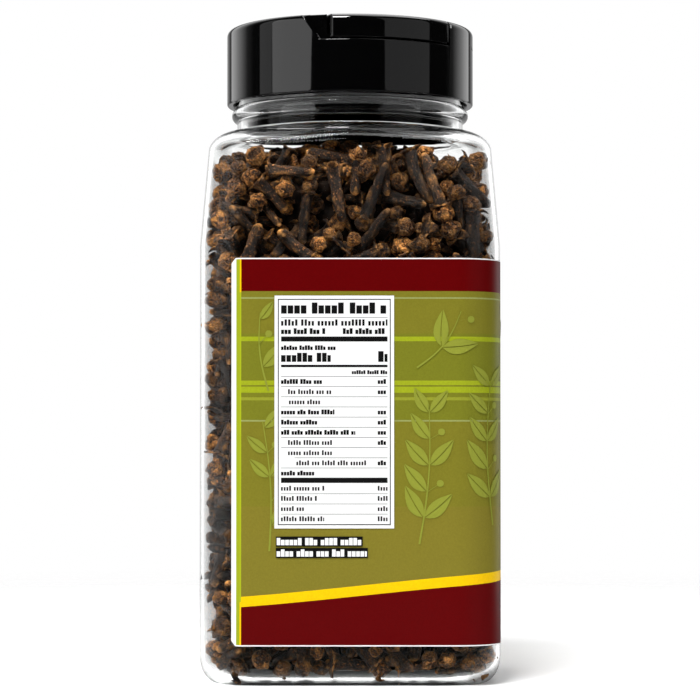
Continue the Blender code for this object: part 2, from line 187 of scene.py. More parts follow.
def meshOf(name, bm):
    mesh = bpy.data.meshes.new(name)
    bm.to_mesh(mesh)
    bm.free()
    return mesh


def addPiece(name, mesh, material, body, sharp=None):
    # a finished piece at the origin, riding on a body of the frame
    piece = bpy.data.objects.new(name, mesh)
    scene.collection.objects.link(piece)
    mesh.materials.append(material)
    mesh.shade_smooth()
    if sharp:
        mesh.set_sharp_from_angle(angle=math.radians(sharp))
    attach(piece, body)
    return piece


def quarterRound(start, end, low, high, steps):
    # (half width, height, turn) along a quarter ellipse between two corners
    points = []
    for i in range(steps + 1):
        turn = low + (high - low) * i / steps
        points.append((start[0] + (end[0] - start[0]) * math.cos(turn),
                       start[1] + (end[1] - start[1]) * math.sin(turn), turn))
    return points


# Jar

jar = {
    "half": jarBox[1].x,
    "lip": jarBox[1].z,
    "corner": 10.0 * mm,
    "wall": 1.1 * mm,
    "taperStart": 95.0 * mm,
    "shoulderHalf": 31.1 * mm,
    "shoulderStart": 116.5 * mm,
    "shoulderTop": 122.4 * mm,
    "neck": 25.7 * mm,
    "neckWall": 1.3 * mm,
    "neckTurn": 0.8 * mm,  # radius where the neck meets the shoulder
    "bead": (127.0 * mm, 2.8 * mm, 1.2 * mm),  # height of its middle, its height, how far it stands out
    "foot": 28.6 * mm,
    "footRound": 6.5 * mm,
    "footInner": 24.0 * mm,
    "pushUp": 1.6 * mm,
    "baseWall": 1.3 * mm,
    "flatSteps": 8,
    "cornerSteps": 20,
    "tint": (0.985, 0.992, 0.99),
    "roughness": 0.015,
    "index": 1.5,
    "sheen": 0.12,  # how strongly a wall seen square on mirrors the lights; its rims still shine fully
}


def clearPlastic():
    material, tree = newMaterial("clear moulded plastic")
    ripple = noiseValue(tree, objectPlace(tree), 55.0, 2.0)
    normal = bumpFrom(tree, ripple, 0.02, 0.4 * mm)
    plastic = addNode(tree, "ShaderNodeBsdfPrincipled", None, {
        "Base Color": (*jar["tint"], 1.0), "Roughness": jar["roughness"], "IOR": jar["index"],
        "Specular Tint": (jar["sheen"], jar["sheen"], jar["sheen"], 1.0),
        "Transmission Weight": 1.0, "Normal": normal})
    seeThrough = addNode(tree, "ShaderNodeBsdfTransparent", None, {"Color": (*jar["tint"], 1.0)})
    path = addNode(tree, "ShaderNodeLightPath")
    mixed = addNode(tree, "ShaderNodeMixShader", None, {
        "Fac": path.outputs["Is Shadow Ray"], 1: plastic.outputs[0], 2: seeThrough.outputs[0]})
    finishMaterial(tree, mixed.outputs[0])
    return material


def bodyReach(angle, corner):
    # distance from the axis to the side of a rounded square of half width 1
    across, along = abs(math.cos(angle)), abs(math.sin(angle))
    flat = 1.0 / max(across, along)
    if flat * min(across, along) <= 1.0 - corner:
        return flat
    middle = (1.0 - corner) * (across + along)
    return middle + math.sqrt(middle**2 - 2.0 * (1.0 - corner)**2 + corner**2)


def bodyPoint(angle, half, roundness, z):
    # roundness 0 is the body's rounded square and 1 is a circle
    reach = bodyReach(angle, jar["corner"] / jar["half"])
    distance = half * ((1.0 - roundness) * reach + roundness)
    return Vector((distance * math.cos(angle), distance * math.sin(angle), z))


def bodyAngles():
    # points round the body, closer together at the corners
    cornerStart = math.atan(1.0 - jar["corner"] / jar["half"])
    spans = [(0.0, cornerStart, jar["flatSteps"]),
             (cornerStart, math.pi / 2 - cornerStart, jar["cornerSteps"]),
             (math.pi / 2 - cornerStart, math.pi / 2, jar["flatSteps"])]
    quarter = [low + (high - low) * i / steps for low, high, steps in spans for i in range(steps)]
    return [math.pi / 2 * turn + angle for turn in range(4) for angle in quarter] + [math.tau]


def taperSections(inset):
    # the drawn-in part above the label, (half width, roundness, height) going up
    sections = []
    for share in (-0.04, 0.0, 0.03, 0.1, 0.3, 0.6, 0.9, 0.97):
        half = jar["half"] + (jar["shoulderHalf"] - jar["half"]) * max(0.0, share * 1.03 - 0.03)
        sections.append((half - inset, 0.0,
                         jar["taperStart"] + (jar["shoulderStart"] - jar["taperStart"]) * share))
    return sections


def outerSections():
    # from the middle of the base up to the lip
    sections = [(0.0, 0.0, jar["pushUp"]), (jar["footInner"] * 0.6, 0.0, jar["pushUp"])]
    for i in range(7):
        turn = math.pi * i / 6
        sections.append((jar["footInner"] * (0.86 + 0.16 * i / 6), 0.0,
                         jar["pushUp"] * (0.5 + 0.5 * math.cos(turn))))
    foot = quarterRound((jar["foot"], jar["footRound"]), (jar["half"], 0.0), math.pi / 2, 0.0, 14)
    sections += [(half, 0.0, z) for half, z, turn in foot]
    sections.append((jar["half"], 0.0, jar["footRound"] + 0.6 * mm))
    sections += taperSections(0.0)
    neckTurn = jar["neckTurn"]
    shoulder = quarterRound((jar["neck"] + neckTurn, jar["shoulderStart"]),
                            (jar["shoulderHalf"], jar["shoulderTop"]), 0.0, math.pi / 2, 16)
    sections += [(half, 1.0 - math.cos(turn), z) for half, z, turn in shoulder]
    for i in range(1, 7):
        turn = math.pi / 2 * i / 6
        sections.append((jar["neck"] + neckTurn * (1.0 - math.sin(turn)), 1.0,
                         jar["shoulderTop"] + neckTurn * (1.0 - math.cos(turn))))
    beadMiddle, beadHeight, beadReach = jar["bead"]
    sections.append((jar["neck"], 1.0, beadMiddle - beadHeight / 2 - 0.4 * mm))
    for i in range(13):
        turn = math.pi * (i / 12 - 0.5)
        sections.append((jar["neck"] + beadReach * math.cos(turn), 1.0,
                         beadMiddle + beadHeight / 2 * math.sin(turn)))
    sections.append((jar["neck"], 1.0, beadMiddle + beadHeight / 2 + 0.4 * mm))
    sections.append((jar["neck"], 1.0, jar["lip"] - 0.3 * mm))
    sections.append((jar["neck"] - 0.3 * mm, 1.0, jar["lip"]))
    return sections


def innerSections():
    # from the lip down to the middle of the floor
    neck = jar["neck"] - jar["neckWall"]
    wall = jar["wall"]
    neckTurn = jar["neckTurn"]
    ceiling = jar["shoulderTop"] - wall
    sections = [(neck + 0.3 * mm, 1.0, jar["lip"]), (neck, 1.0, jar["lip"] - 0.3 * mm)]
    for i in range(6):
        turn = math.pi / 2 * i / 6
        sections.append((neck + neckTurn * (1.0 - math.cos(turn)), 1.0,
                         ceiling + neckTurn * (1.0 - math.sin(turn))))
    shoulder = quarterRound((neck + neckTurn, jar["shoulderStart"]),
                            (jar["shoulderHalf"] - wall, ceiling), math.pi / 2, 0.0, 14)
    sections += [(half, 1.0 - math.cos(turn), z) for half, z, turn in shoulder]
    sections += list(reversed(taperSections(wall)))
    sections.append((jar["half"] - wall, 0.0, jar["footRound"] + 0.6 * mm))
    foot = quarterRound((jar["foot"] - wall, jar["footRound"]),
                        (jar["half"] - wall, jar["baseWall"]), 0.0, math.pi / 2, 12)
    sections += [(half, 0.0, z) for half, z, turn in foot]
    for i in range(7):
        turn = math.pi * (1.0 - i / 6)
        sections.append((jar["footInner"] * (1.02 - 0.16 * i / 6), 0.0,
                         jar["baseWall"] + jar["pushUp"] * (0.5 + 0.5 * math.cos(turn))))
    sections.append((jar["footInner"] * 0.6, 0.0, jar["baseWall"] + jar["pushUp"]))
    sections.append((0.0, 0.0, jar["baseWall"] + jar["pushUp"]))
    return sections


def loft(sections, angles):
    rows = len(sections) - 1
    columns = len(angles) - 1

    def place(across, along):
        half, roundness, z = sections[round(along * rows)]
        return bodyPoint(angles[round(across * columns)], half, roundness, z)

    return closeSkin(wrappedGrid(columns, rows, place))


def buildJar():
    bm = loft(outerSections() + innerSections(), bodyAngles())
    piece = addPiece("jar_shell", meshOf("jar_shell", bm), clearPlastic(), "jar_body")
    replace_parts(piece, "jar")


buildJar()
print("jar made")


# Cap and flap

cap = {
    "radius": capBox[1].x,
    "top": capBox[1].z,
    "bottom": 129.3 * mm,
    "edge": 1.4 * mm,
    "skirt": 1.4 * mm,
    "rimRound": 0.3 * mm,
    "topWall": 1.5 * mm,
    "steps": 240,
    "flapTurn": math.radians(21.7),  # where the flap faces, to the right of the front
    "flapHalf": 14.2 * mm,
    "flapLip": 141.2 * mm,
    "flapPlate": 1.6 * mm,
    "gap": 0.35 * mm,
    "hinge": 3.0 * mm,
    "deck": 140.8 * mm,
    "deckWall": 1.2 * mm,
    "seatWall": 1.3 * mm,
    "seatHalf": 21.0 * mm,
    "pour": (9.0 * mm, 20.5 * mm, 9.0 * mm),  # from the axis, to, half width
    # turns from the front: the recess's middle, its left side at the top and at the foot, its right side
    "recess": tuple(math.radians(turn) for turn in (-15.5, -22.3, -14.0, -7.0)),
    "recessDepth": 1.7 * mm,
    "plug": (24.1 * mm, 23.1 * mm, capBox[0].z),  # the ring in the neck: outside, inside, lower end
    # a fine groove: turn from the front, its floor's distance from the axis, half width, height,
    # how far it falls to the right over half its width, how high it is
    "tick": (math.radians(86.0), 27.7 * mm, 6.0 * mm, 141.65 * mm, 0.55 * mm, 0.22 * mm),
    "past": 3.0 * mm,  # how far the blocks that cut stand out past the side
    "above": 2.0 * mm,  # and above the top
    "bevel": 0.2 * mm,
    "support": 0.25 * mm,  # a ring this far from each round edge keeps the shading of the flats true
    "colour": (0.0012, 0.0012, 0.0013),
    "roughness": 0.045,
}


def blackPlastic():
    material, tree = newMaterial("glossy black plastic")
    place = objectPlace(tree)
    smear = noiseValue(tree, place, 90.0, 4.0, 0.6)
    roughness = calc(tree, "MULTIPLY_ADD", smear, 0.05)
    roughness.node.inputs[2].default_value = cap["roughness"] - 0.02
    shade = ramp(tree, noiseValue(tree, place, 40.0), [
        (0.3, tuple(0.85 * part for part in cap["colour"])), (0.7, cap["colour"])])
    normal = bumpFrom(tree, noiseValue(tree, place, 260.0, 2.0), 0.03, 0.1 * mm)
    plastic = addNode(tree, "ShaderNodeBsdfPrincipled", None, {
        "Base Color": shade, "Roughness": roughness, "IOR": 1.5, "Normal": normal})
    finishMaterial(tree, plastic.outputs[0])
    return material


def flapPlace(forward, sideways, z=0.0):
    # a point from its distance towards the flap and to the flap's right
    turn = cap["flapTurn"]
    return Vector((math.sin(turn) * forward + math.cos(turn) * sideways,
                   -math.cos(turn) * forward + math.sin(turn) * sideways, z))


def edgeProfile():
    points = [(0.0, cap["top"])]
    for i in range(9):
        turn = math.pi / 2 * (1.0 - i / 8)
        points.append((cap["radius"] - cap["edge"] + cap["edge"] * math.cos(turn),
                       cap["top"] - cap["edge"] + cap["edge"] * math.sin(turn)))
    points.insert(1, (cap["radius"] - cap["edge"] - cap["support"], cap["top"]))
    points.append((cap["radius"], cap["top"] - cap["edge"] - cap["support"]))
    return points


def prism(corners, shift):
    # a block on a flat outline, carried along a shift
    bm = bmesh.new()
    face = bmesh.ops.contextual_create(bm, geom=[bm.verts.new(corner) for corner in corners])["faces"][0]
    grown = bmesh.ops.extrude_face_region(bm, geom=[face])["geom"]
    moved = [item for item in grown if isinstance(item, bmesh.types.BMVert)]
    bmesh.ops.translate(bm, verts=moved, vec=shift)
    bmesh.ops.recalc_face_normals(bm, faces=bm.faces)
    return bm


def flapBlock(near, halfWidth, radius, low, high):
    # an upright block from the hinge side out to a circle round the axis
    halfTurn = math.asin(halfWidth / radius)
    corners = [flapPlace(near, -halfWidth, low)]
    for i in range(25):
        turn = halfTurn * (i / 12 - 1.0)
        corners.append(flapPlace(radius * math.cos(turn), radius * math.sin(turn), low))
    corners.append(flapPlace(near, halfWidth, low))
    return prism(corners, (0.0, 0.0, high - low))


def waysAt(turn):
    # straight out from the axis and to the right, this far round from the front
    out = Vector((math.sin(turn), -math.cos(turn), 0.0))
    side = Vector((math.cos(turn), math.sin(turn), 0.0))
    return out, side


def recessBlock():
    # the finger recess beside the flap, its left side sloping
    middle, topLeft, footLeft, right = cap["recess"]
    out, side = waysAt(middle)
    above = cap["top"] + cap["above"]
    slope = (topLeft - footLeft) / (cap["top"] - cap["deck"])
    corners = []
    for turn, z in ((footLeft + slope * (above - cap["deck"]), above), (footLeft, cap["deck"]),
                    (right, cap["deck"]), (right, above)):
        sideways = cap["radius"] * math.sin(turn - middle)
        corners.append(out * (cap["radius"] - cap["recessDepth"]) + side * sideways
                       + Vector((0.0, 0.0, z)))
    return prism(corners, out * (cap["recessDepth"] + cap["past"]))


def tickBlock():
    # a fine slanting groove at the right edge
    middle, near, half, z, fall, height = cap["tick"]
    out, side = waysAt(middle)
    corners = [out * near + side * (half * way) + Vector((0.0, 0.0, z - fall * way + rise))
               for way, rise in ((-1.0, 0.0), (1.0, 0.0), (1.0, height), (-1.0, height))]
    return prism(corners, out * cap["past"])


def combined(name, bm, changes):
    # the shape after each (operation, other shape) in turn, as a mesh
    work = bpy.data.objects.new(name, meshOf(name, bm))
    scene.collection.objects.link(work)
    others = []
    for operation, other in changes:
        tool = bpy.data.objects.new("tool", meshOf("tool", other))
        scene.collection.objects.link(tool)
        others.append(tool)
        boolean = work.modifiers.new("change", "BOOLEAN")
        boolean.operation = operation
        boolean.object = tool
    bpy.context.view_layer.update()
    evaluated = work.evaluated_get(bpy.context.evaluated_depsgraph_get())
    mesh = bpy.data.meshes.new_from_object(evaluated)
    for thing in [work] + others:
        bpy.data.objects.remove(thing, do_unlink=True)
    clean = bmesh.new()
    clean.from_mesh(mesh)
    bmesh.ops.remove_doubles(clean, verts=clean.verts, dist=0.01 * mm)
    bmesh.ops.dissolve_degenerate(clean, dist=0.01 * mm, edges=clean.edges)
    clean.to_mesh(mesh)
    clean.free()
    return mesh


def softenEdges(piece, width):
    bevel = piece.modifiers.new("edges", "BEVEL")
    bevel.width = width
    bevel.segments = 2
    bevel.limit_method = "ANGLE"
    bevel.angle_limit = math.radians(32)
    bevel.use_clamp_overlap = False
    bevel.harden_normals = True


def buildCap(plastic):
    inside = cap["radius"] - cap["skirt"]
    ceiling = cap["top"] - cap["topWall"]
    rim = cap["rimRound"]
    plugOut, plugIn, plugLow = cap["plug"]
    profile = edgeProfile() + [
        (cap["radius"], cap["bottom"] + rim + cap["support"]),
        (cap["radius"], cap["bottom"] + rim),
        (cap["radius"] - rim * 0.2, cap["bottom"] + rim * 0.3),
        (cap["radius"] - rim * 0.7, cap["bottom"]),
        (inside + rim / 2, cap["bottom"]),
        (inside, cap["bottom"] + rim),
        (inside, ceiling),
        (plugOut, ceiling),
        (plugOut, plugLow + rim),
        (plugOut - rim, plugLow),
        (plugIn + rim, plugLow),
        (plugIn, plugLow + rim),
        (plugIn, ceiling),
        (0.0, ceiling),
    ]
    seat = flapBlock(cap["hinge"] - cap["seatWall"], cap["seatHalf"], cap["radius"] - 0.7 * mm,
                     cap["deck"] - cap["deckWall"], cap["top"] - 0.5 * mm)
    pocket = flapBlock(cap["hinge"], cap["flapHalf"], cap["radius"] + cap["past"],
                       cap["deck"], cap["top"] + cap["above"])
    near, far, halfWidth = cap["pour"]
    pour = flapBlock(near, halfWidth, far, cap["deck"] - 2.0 * cap["deckWall"],
                     cap["deck"] + cap["deckWall"])
    mesh = combined("screw_cap", turned(profile, cap["steps"]), [
        ("UNION", seat), ("DIFFERENCE", pocket), ("DIFFERENCE", recessBlock()), ("DIFFERENCE", pour),
        ("DIFFERENCE", tickBlock())])
    piece = addPiece("screw_cap", mesh, plastic, "jar_body", 30)
    softenEdges(piece, cap["bevel"])
    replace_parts(piece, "cap")


def buildFlap(plastic):
    near = cap["hinge"] + cap["gap"]
    halfWidth = cap["flapHalf"] - cap["gap"]
    profile = edgeProfile() + [(cap["radius"], cap["flapLip"]), (0.0, cap["flapLip"])]
    shape = flapBlock(near, halfWidth, cap["radius"] + cap["past"], cap["flapLip"] - mm,
                      cap["top"] + mm)
    under = flapBlock(-near, halfWidth + 2.0 * mm, cap["radius"] - 1.6 * mm, cap["flapLip"] - mm,
                      cap["top"] - cap["flapPlate"])
    mesh = combined("pour_flap", turned(profile, cap["steps"]),
                    [("INTERSECT", shape), ("DIFFERENCE", under)])
    piece = addPiece("pour_flap", mesh, plastic, "flap", 30)
    softenEdges(piece, cap["bevel"])
    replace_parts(piece, "flap")


capPlastic = blackPlastic()
buildCap(capPlastic)
buildFlap(capPlastic)
print("cap and flap made")


# Label

label = {
    "low": labelBox[0].z,
    "high": labelBox[1].z,
    "start": -25.57 * mm,  # along the wall from the middle of the front, to the right
    "end": 186.5 * mm,
    "lift": 0.08 * mm,
    "thickness": 0.12 * mm,
    "endRound": 1.2 * mm,
    "maroon": (0.105, 0.0003, 0.0009),
    "olive": (0.187, 0.171, 0.017),
    "oliveGreen": (0.171, 0.178, 0.015),
    "oliveBrown": (0.2, 0.17, 0.02),
    "lime": (0.31, 0.365, 0.014),
    "yellow": (0.86, 0.53, 0.001),
    "white": (0.86, 0.86, 0.86),
    "leaf": (0.255, 0.28, 0.034),
    "paleLine": (0.28, 0.31, 0.1),
    "dimLine": (0.27, 0.29, 0.026),
    "marginGreen": (0.36, 0.43, 0.011),
    # each band's lower edge above the label's foot in mm, and its colour
    "bands": ((0.0, "oliveBrown"), (30.0, "olive"), (48.3, "paleLine"), (48.5, "oliveGreen"),
              (52.7, "dimLine"), (53.5, "oliveGreen"), (54.6, "lime"), (54.95, "dimLine"),
              (55.1, "lime"), (55.6, "oliveGreen"), (55.95, "lime"), (56.9, "dimLine"),
              (57.1, "oliveGreen"), (57.9, "dimLine"), (58.1, "oliveGreen"), (65.6, "lime"),
              (65.85, "dimLine"), (66.0, "lime"), (66.5, "oliveGreen"), (67.1, "dimLine"),
              (67.3, "olive"), (69.65, "paleLine"), (69.82, "olive"), (74.8, "paleLine"),
              (75.0, "olive"), (76.3, "maroon")),
    "marginWidths": (2.12, 1.8, 1.05),  # mm from the left end: green or yellow, lime, white
    "whiteEdge": 0.26,  # mm left unprinted at the foot and the top
    "swoosh": (12.0, 3.5, 28.0, 210.0, 2.2),  # height, rise, start, length, thickness in mm
    "grainScale": 2600.0,
    "fibreScale": 900.0,
}
label["length"] = label["end"] - label["start"]
label["height"] = label["high"] - label["low"]


def wallPoint(along, lift):
    # a point beside the straight part of the body, from its distance along the wall
    corner = jar["corner"]
    flat = jar["half"] - corner
    quarter = 2.0 * flat + corner * math.pi / 2
    shifted = along + flat
    side = math.floor(shifted / quarter)
    rest = shifted - side * quarter
    if rest <= 2.0 * flat:
        x, y = rest - flat, -(jar["half"] + lift)
    else:
        turn = (rest - 2.0 * flat) / corner
        x = flat + (corner + lift) * math.sin(turn)
        y = -flat - (corner + lift) * math.cos(turn)
    return Matrix.Rotation(side * math.pi / 2, 4, "Z") @ Vector((x, y, 0.0))


def onLabel(u, v, lift=0.0):
    # u from the label's left end and v from its foot
    point = wallPoint(label["start"] + u, label["lift"] + label["thickness"] + lift)
    point.z = label["low"] + v
    return point


def labelFilm():
    material, tree = newMaterial("printed film")
    place = addNode(tree, "ShaderNodeUVMap", {"uv_map": "UVMap"}).outputs[0]
    split = addNode(tree, "ShaderNodeSeparateXYZ", None, {0: place})
    u = calc(tree, "MULTIPLY", split.outputs[0], label["length"] / mm)
    v = calc(tree, "MULTIPLY", split.outputs[1], label["height"] / mm)
    height = label["height"] / mm
    bands = [(low / height, label[name]) for low, name in label["bands"]]
    field = ramp(tree, split.outputs[1], bands, "CONSTANT")
    # a yellow wave runs round the foot, with maroon below it
    middle, rise, start, length, thickness = label["swoosh"]
    turn = calc(tree, "MULTIPLY", calc(tree, "SUBTRACT", u, start), math.tau / length)
    centre = calc(tree, "ADD", calc(tree, "MULTIPLY", calc(tree, "SINE", turn), rise), middle)
    above = calc(tree, "SUBTRACT", v, centre)
    below = calc(tree, "LESS_THAN", above, 0.0)
    inBand = calc(tree, "LESS_THAN", calc(tree, "ABSOLUTE", above), thickness / 2)
    colour = mixColour(tree, below, field, label["maroon"])
    colour = mixColour(tree, inBand, colour, label["yellow"])
    grain = noiseValue(tree, objectPlace(tree), label["grainScale"], 2.0, 0.7)
    tone = ramp(tree, grain, [(0.3, 0.93), (0.7, 1.07)])
    colour = mixColour(tree, 1.0, colour, tone, "MULTIPLY")
    topBand = label["bands"][-1][0]
    maroonRows = calc(tree, "MAXIMUM", below, calc(tree, "GREATER_THAN", v, topBand))
    margin = mixColour(tree, maroonRows, label["marginGreen"], label["yellow"])
    for width, strip in zip(label["marginWidths"], (margin, label["lime"], label["white"])):
        colour = mixColour(tree, calc(tree, "LESS_THAN", u, width), colour, strip)
    fromMiddle = calc(tree, "ABSOLUTE", calc(tree, "SUBTRACT", v, height / 2))
    edge = calc(tree, "GREATER_THAN", fromMiddle, height / 2 - label["whiteEdge"])
    colour = mixColour(tree, edge, colour, label["white"])
    fibres = noiseValue(tree, objectPlace(tree), label["fibreScale"], 2.0)
    film = addNode(tree, "ShaderNodeBsdfPrincipled", None, {
        "Base Color": colour, "Roughness": 0.34, "IOR": 1.45, "Specular IOR Level": 0.1,
        "Normal": bumpFrom(tree, fibres, 0.04, 0.05 * mm)})
    finishMaterial(tree, film.outputs[0])
    return material


def inkMaterial(name, colour):
    # flat printing ink with the film's own fine grain
    material, tree = newMaterial(name)
    grain = noiseValue(tree, objectPlace(tree), label["grainScale"], 2.0, 0.7)
    shade = ramp(tree, grain, [(0.3, tuple(0.94 * part for part in colour)), (0.7, colour)])
    ink = addNode(tree, "ShaderNodeBsdfPrincipled", None, {
        "Base Color": shade, "Roughness": 0.36, "IOR": 1.45, "Specular IOR Level": 0.1,
        "Normal": bumpFrom(tree, grain, 0.03, 0.02 * mm)})
    finishMaterial(tree, ink.outputs[0])
    return material


def thicken(bm, thickness):
    # gives a sheet its thickness, outwards from where it lies
    bmesh.ops.recalc_face_normals(bm, faces=bm.faces)
    if sum((face.normal.dot(face.calc_center_median() * Vector((1, 1, 0))) for face in bm.faces)) < 0.0:
        bmesh.ops.reverse_faces(bm, faces=bm.faces)
    bmesh.ops.solidify(bm, geom=bm.faces[:], thickness=thickness)
    bmesh.ops.recalc_face_normals(bm, faces=bm.faces)
    return bm


def endCut(inset, turn):
    # what a rounded corner takes off the foot and the top, this far in from the end
    return turn - math.sqrt(max(0.0, turn**2 - (turn - inset)**2)) if inset < turn else 0.0


def buildLabel():
    width, height = label["length"], label["height"]

    def place(across, along):
        u = across * width
        cut = endCut(min(u, width - u), label["endRound"])
        return onLabel(u, cut + (height - 2.0 * cut) * along, -label["thickness"])

    bm = wrappedGrid(240, 24, place)
    mesh = meshOf("wrap_label", thicken(bm, label["thickness"]))
    piece = addPiece("wrap_label", mesh, labelFilm(), "jar_body", 40)
    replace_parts(piece, "label")


buildLabel()
print("label made")


# Print on the label: a panel of plain rows, and sprigs

panel = {
    "left": 9.3 * mm,
    "right": 35.07 * mm,
    "low": 25.37 * mm,
    "high": 75.55 * mm,
    "frameInset": 0.72 * mm,
    "frame": 0.2 * mm,
    "textInset": 1.42 * mm,
    "rule": 0.11 * mm,
    # depth below the panel's top, height
    "bars": ((8.84 * mm, 1.07 * mm), (14.93 * mm, 0.52 * mm), (39.26 * mm, 1.12 * mm)),
    "rowStart": 17.39 * mm,
    "rowStep": 2.191 * mm,
    # indent, length, whether bold, whether a figure stands at the right
    "rows": ((0.0, 9.2, True, True), (1.5, 9.6, False, True), (1.7, 7.5, False, False),
             (0.0, 11.5, True, True), (0.0, 8.5, True, True), (0.0, 16.0, True, True),
             (1.5, 9.5, False, True), (1.5, 9.5, False, False), (3.3, 15.6, False, True),
             (0.0, 7.2, True, False)),
    "lowRowStart": 41.0 * mm,
    "lowRows": (9.5, 7.8, 5.3, 9.3),
    "figure": 2.1 * mm,
    "words": (1.5, 3.6),  # a word's length, in heights of its line
    "stroke": (0.36, 0.5),  # a block's width in a plain and in a bold row, and the gap after it
    "gap": (0.2, 0.09),
    "lowBlock": 0.74,  # the height of most blocks; the others are full height
    "tallShare": 0.35,
    "wordGap": 0.4,
    # rows above the table in mm: from, to, depth, height, whether bold; none is the right edge,
    # and a number below 0 is measured back from it
    "headRows": ((0.0, 13.5, 1.5, 2.4, True), (14.8, None, 1.5, 2.4, True),
                 (0.0, None, 5.15, 1.35, False), (0.0, 9.8, 7.05, 1.25, True),
                 (13.3, -0.6, 7.05, 1.25, True), (0.0, 12.6, 10.75, 1.0, True),
                 (0.0, 10.7, 12.35, 1.95, True), (-2.0, None, 12.0, 2.3, True),
                 (-7.7, None, 16.1, 0.85, True)),
    "headRule": 4.66 * mm,
    "rowHeight": 1.05 * mm,
    "rowGap": 0.62 * mm,  # from a rule down to its words
    "lowRowGap": 0.53 * mm,
    "indentRow": (8, 2.9 * mm),  # the row whose rule starts further in, and how far
    # white words on black below the panel, in mm: their lengths, first foot, step, height
    "footWords": ((18.3, 19.4), 3.6, 2.45, 1.55),
    # how high the print stands off the film, in sheets
    "plateLevel": 3.0,
    "textLevel": 4.5,
    "sprigLevel": 1.5,
    "seed": 11,
    "sheet": 0.014 * mm,
    "black": (0.006, 0.006, 0.006),
    "grey": (0.16, 0.16, 0.16),
    "cream": (0.85, 0.8, 0.62),
}


def addSheet(bm, columns, rows, place):
    # adds one more grid to a bmesh
    mesh = meshOf("sheet", wrappedGrid(columns, rows, place))
    bm.from_mesh(mesh)
    bpy.data.meshes.remove(mesh)


def printedPatch(bm, u0, u1, v0, v1, lift):
    # a printed rectangle that follows the wall
    flatHalf = jar["half"] - jar["corner"]
    flat = max(abs(label["start"] + u0), abs(label["start"] + u1)) < flatHalf
    columns = 1 if flat else max(1, math.ceil((u1 - u0) / (1.0 * mm)))
    addSheet(bm, columns, 1, lambda across, along: onLabel(
        u0 + (u1 - u0) * across, v0 + (v1 - v0) * along, lift))


def addPrint(name, bm, colour):
    # closes the printed sheets and adds them as one piece
    bmesh.ops.solidify(bm, geom=bm.faces[:], thickness=panel["sheet"])
    bmesh.ops.recalc_face_normals(bm, faces=bm.faces)
    piece = addPiece(name, meshOf(name, bm), inkMaterial(name, colour), "jar_body", 40)
    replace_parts(piece, "label")


def wordRow(bm, draw, left, right, foot, height, bold, lift):
    # words as runs of small plain blocks, with no letters
    u = left
    stroke = height * panel["stroke"][bold]
    gap = height * panel["gap"][bold]
    while u < right - stroke:
        wordEnd = min(right, u + height * draw.uniform(*panel["words"]))
        while u < wordEnd - stroke * 0.5:
            tall = height if draw.random() < panel["tallShare"] else height * panel["lowBlock"]
            printedPatch(bm, u, min(right, u + stroke), foot, foot + tall, lift)
            u += stroke + gap
        u += height * panel["wordGap"]


def buildPanel():
    draw = random.Random(panel["seed"])
    left, right, low, high = panel["left"], panel["right"], panel["low"], panel["high"]
    sheet = panel["sheet"]
    plate = bmesh.new()
    printedPatch(plate, left, right, low, high, panel["plateLevel"] * sheet)
    addPrint("label_panel", plate, label["white"])
    black = bmesh.new()
    grey = bmesh.new()
    over = panel["textLevel"] * sheet
    inset, line = panel["frameInset"], panel["frame"]
    for u0, u1, v0, v1 in ((left + inset, right - inset, low + inset, low + inset + line),
                           (left + inset, right - inset, high - inset - line, high - inset),
                           (left + inset, left + inset + line, low + inset + line, high - inset - line),
                           (right - inset - line, right - inset, low + inset + line, high - inset - line)):
        printedPatch(black, u0, u1, v0, v1, over)
    start, end = left + panel["textInset"], right - panel["textInset"]
    for depth, height in panel["bars"]:
        printedPatch(black, start, end, high - depth - height, high - depth, over)

    def rule(depth, indent=0.0):
        printedPatch(grey, start + indent, end, high - depth - panel["rule"], high - depth, over)

    def words(u0, u1, depth, height, bold):
        wordRow(black, draw, u0, u1, high - depth - height, height, bold, over)

    def edge(offset):
        if offset is None:
            return end
        return (start if offset >= 0.0 else end) + offset * mm

    for near, far, depth, height, bold in panel["headRows"]:
        words(edge(near), edge(far), depth * mm, height * mm, bold)
    rule(panel["headRule"])
    rowHeight, figureStart = panel["rowHeight"], end - panel["figure"]
    indentRow, ruleIndent = panel["indentRow"]
    for i, (indent, length, bold, figure) in enumerate(panel["rows"]):
        depth = panel["rowStart"] + panel["rowStep"] * i
        rule(depth, ruleIndent if i == indentRow else 0.0)
        depth += panel["rowGap"]
        words(start + indent * mm, start + (indent + length) * mm, depth, rowHeight, bold)
        if figure:
            words(figureStart, end, depth, rowHeight, True)
    for i, length in enumerate(panel["lowRows"]):
        depth = panel["lowRowStart"] + panel["rowStep"] * i
        if i:
            rule(depth - panel["lowRowGap"])
        words(start, start + length * mm, depth, rowHeight, False)
        words(figureStart, end, depth, rowHeight, False)
    backing = bmesh.new()
    white = bmesh.new()
    lengths, firstFoot, step, height = panel["footWords"]
    for i, length in enumerate(lengths):
        foot = low - (firstFoot + step * i) * mm
        printedPatch(backing, left + 0.3 * mm, left + (0.7 + length) * mm, foot - 0.3 * mm,
                     foot + (height + 0.3) * mm, panel["plateLevel"] * sheet)
        wordRow(white, draw, left + 0.5 * mm, left + (0.5 + length) * mm, foot, height * mm, True, over)
    addPrint("label_rules", grey, panel["grey"])
    addPrint("label_rows", black, panel["black"])
    addPrint("label_word_backing", backing, panel["black"])
    addPrint("label_words", white, label["white"])


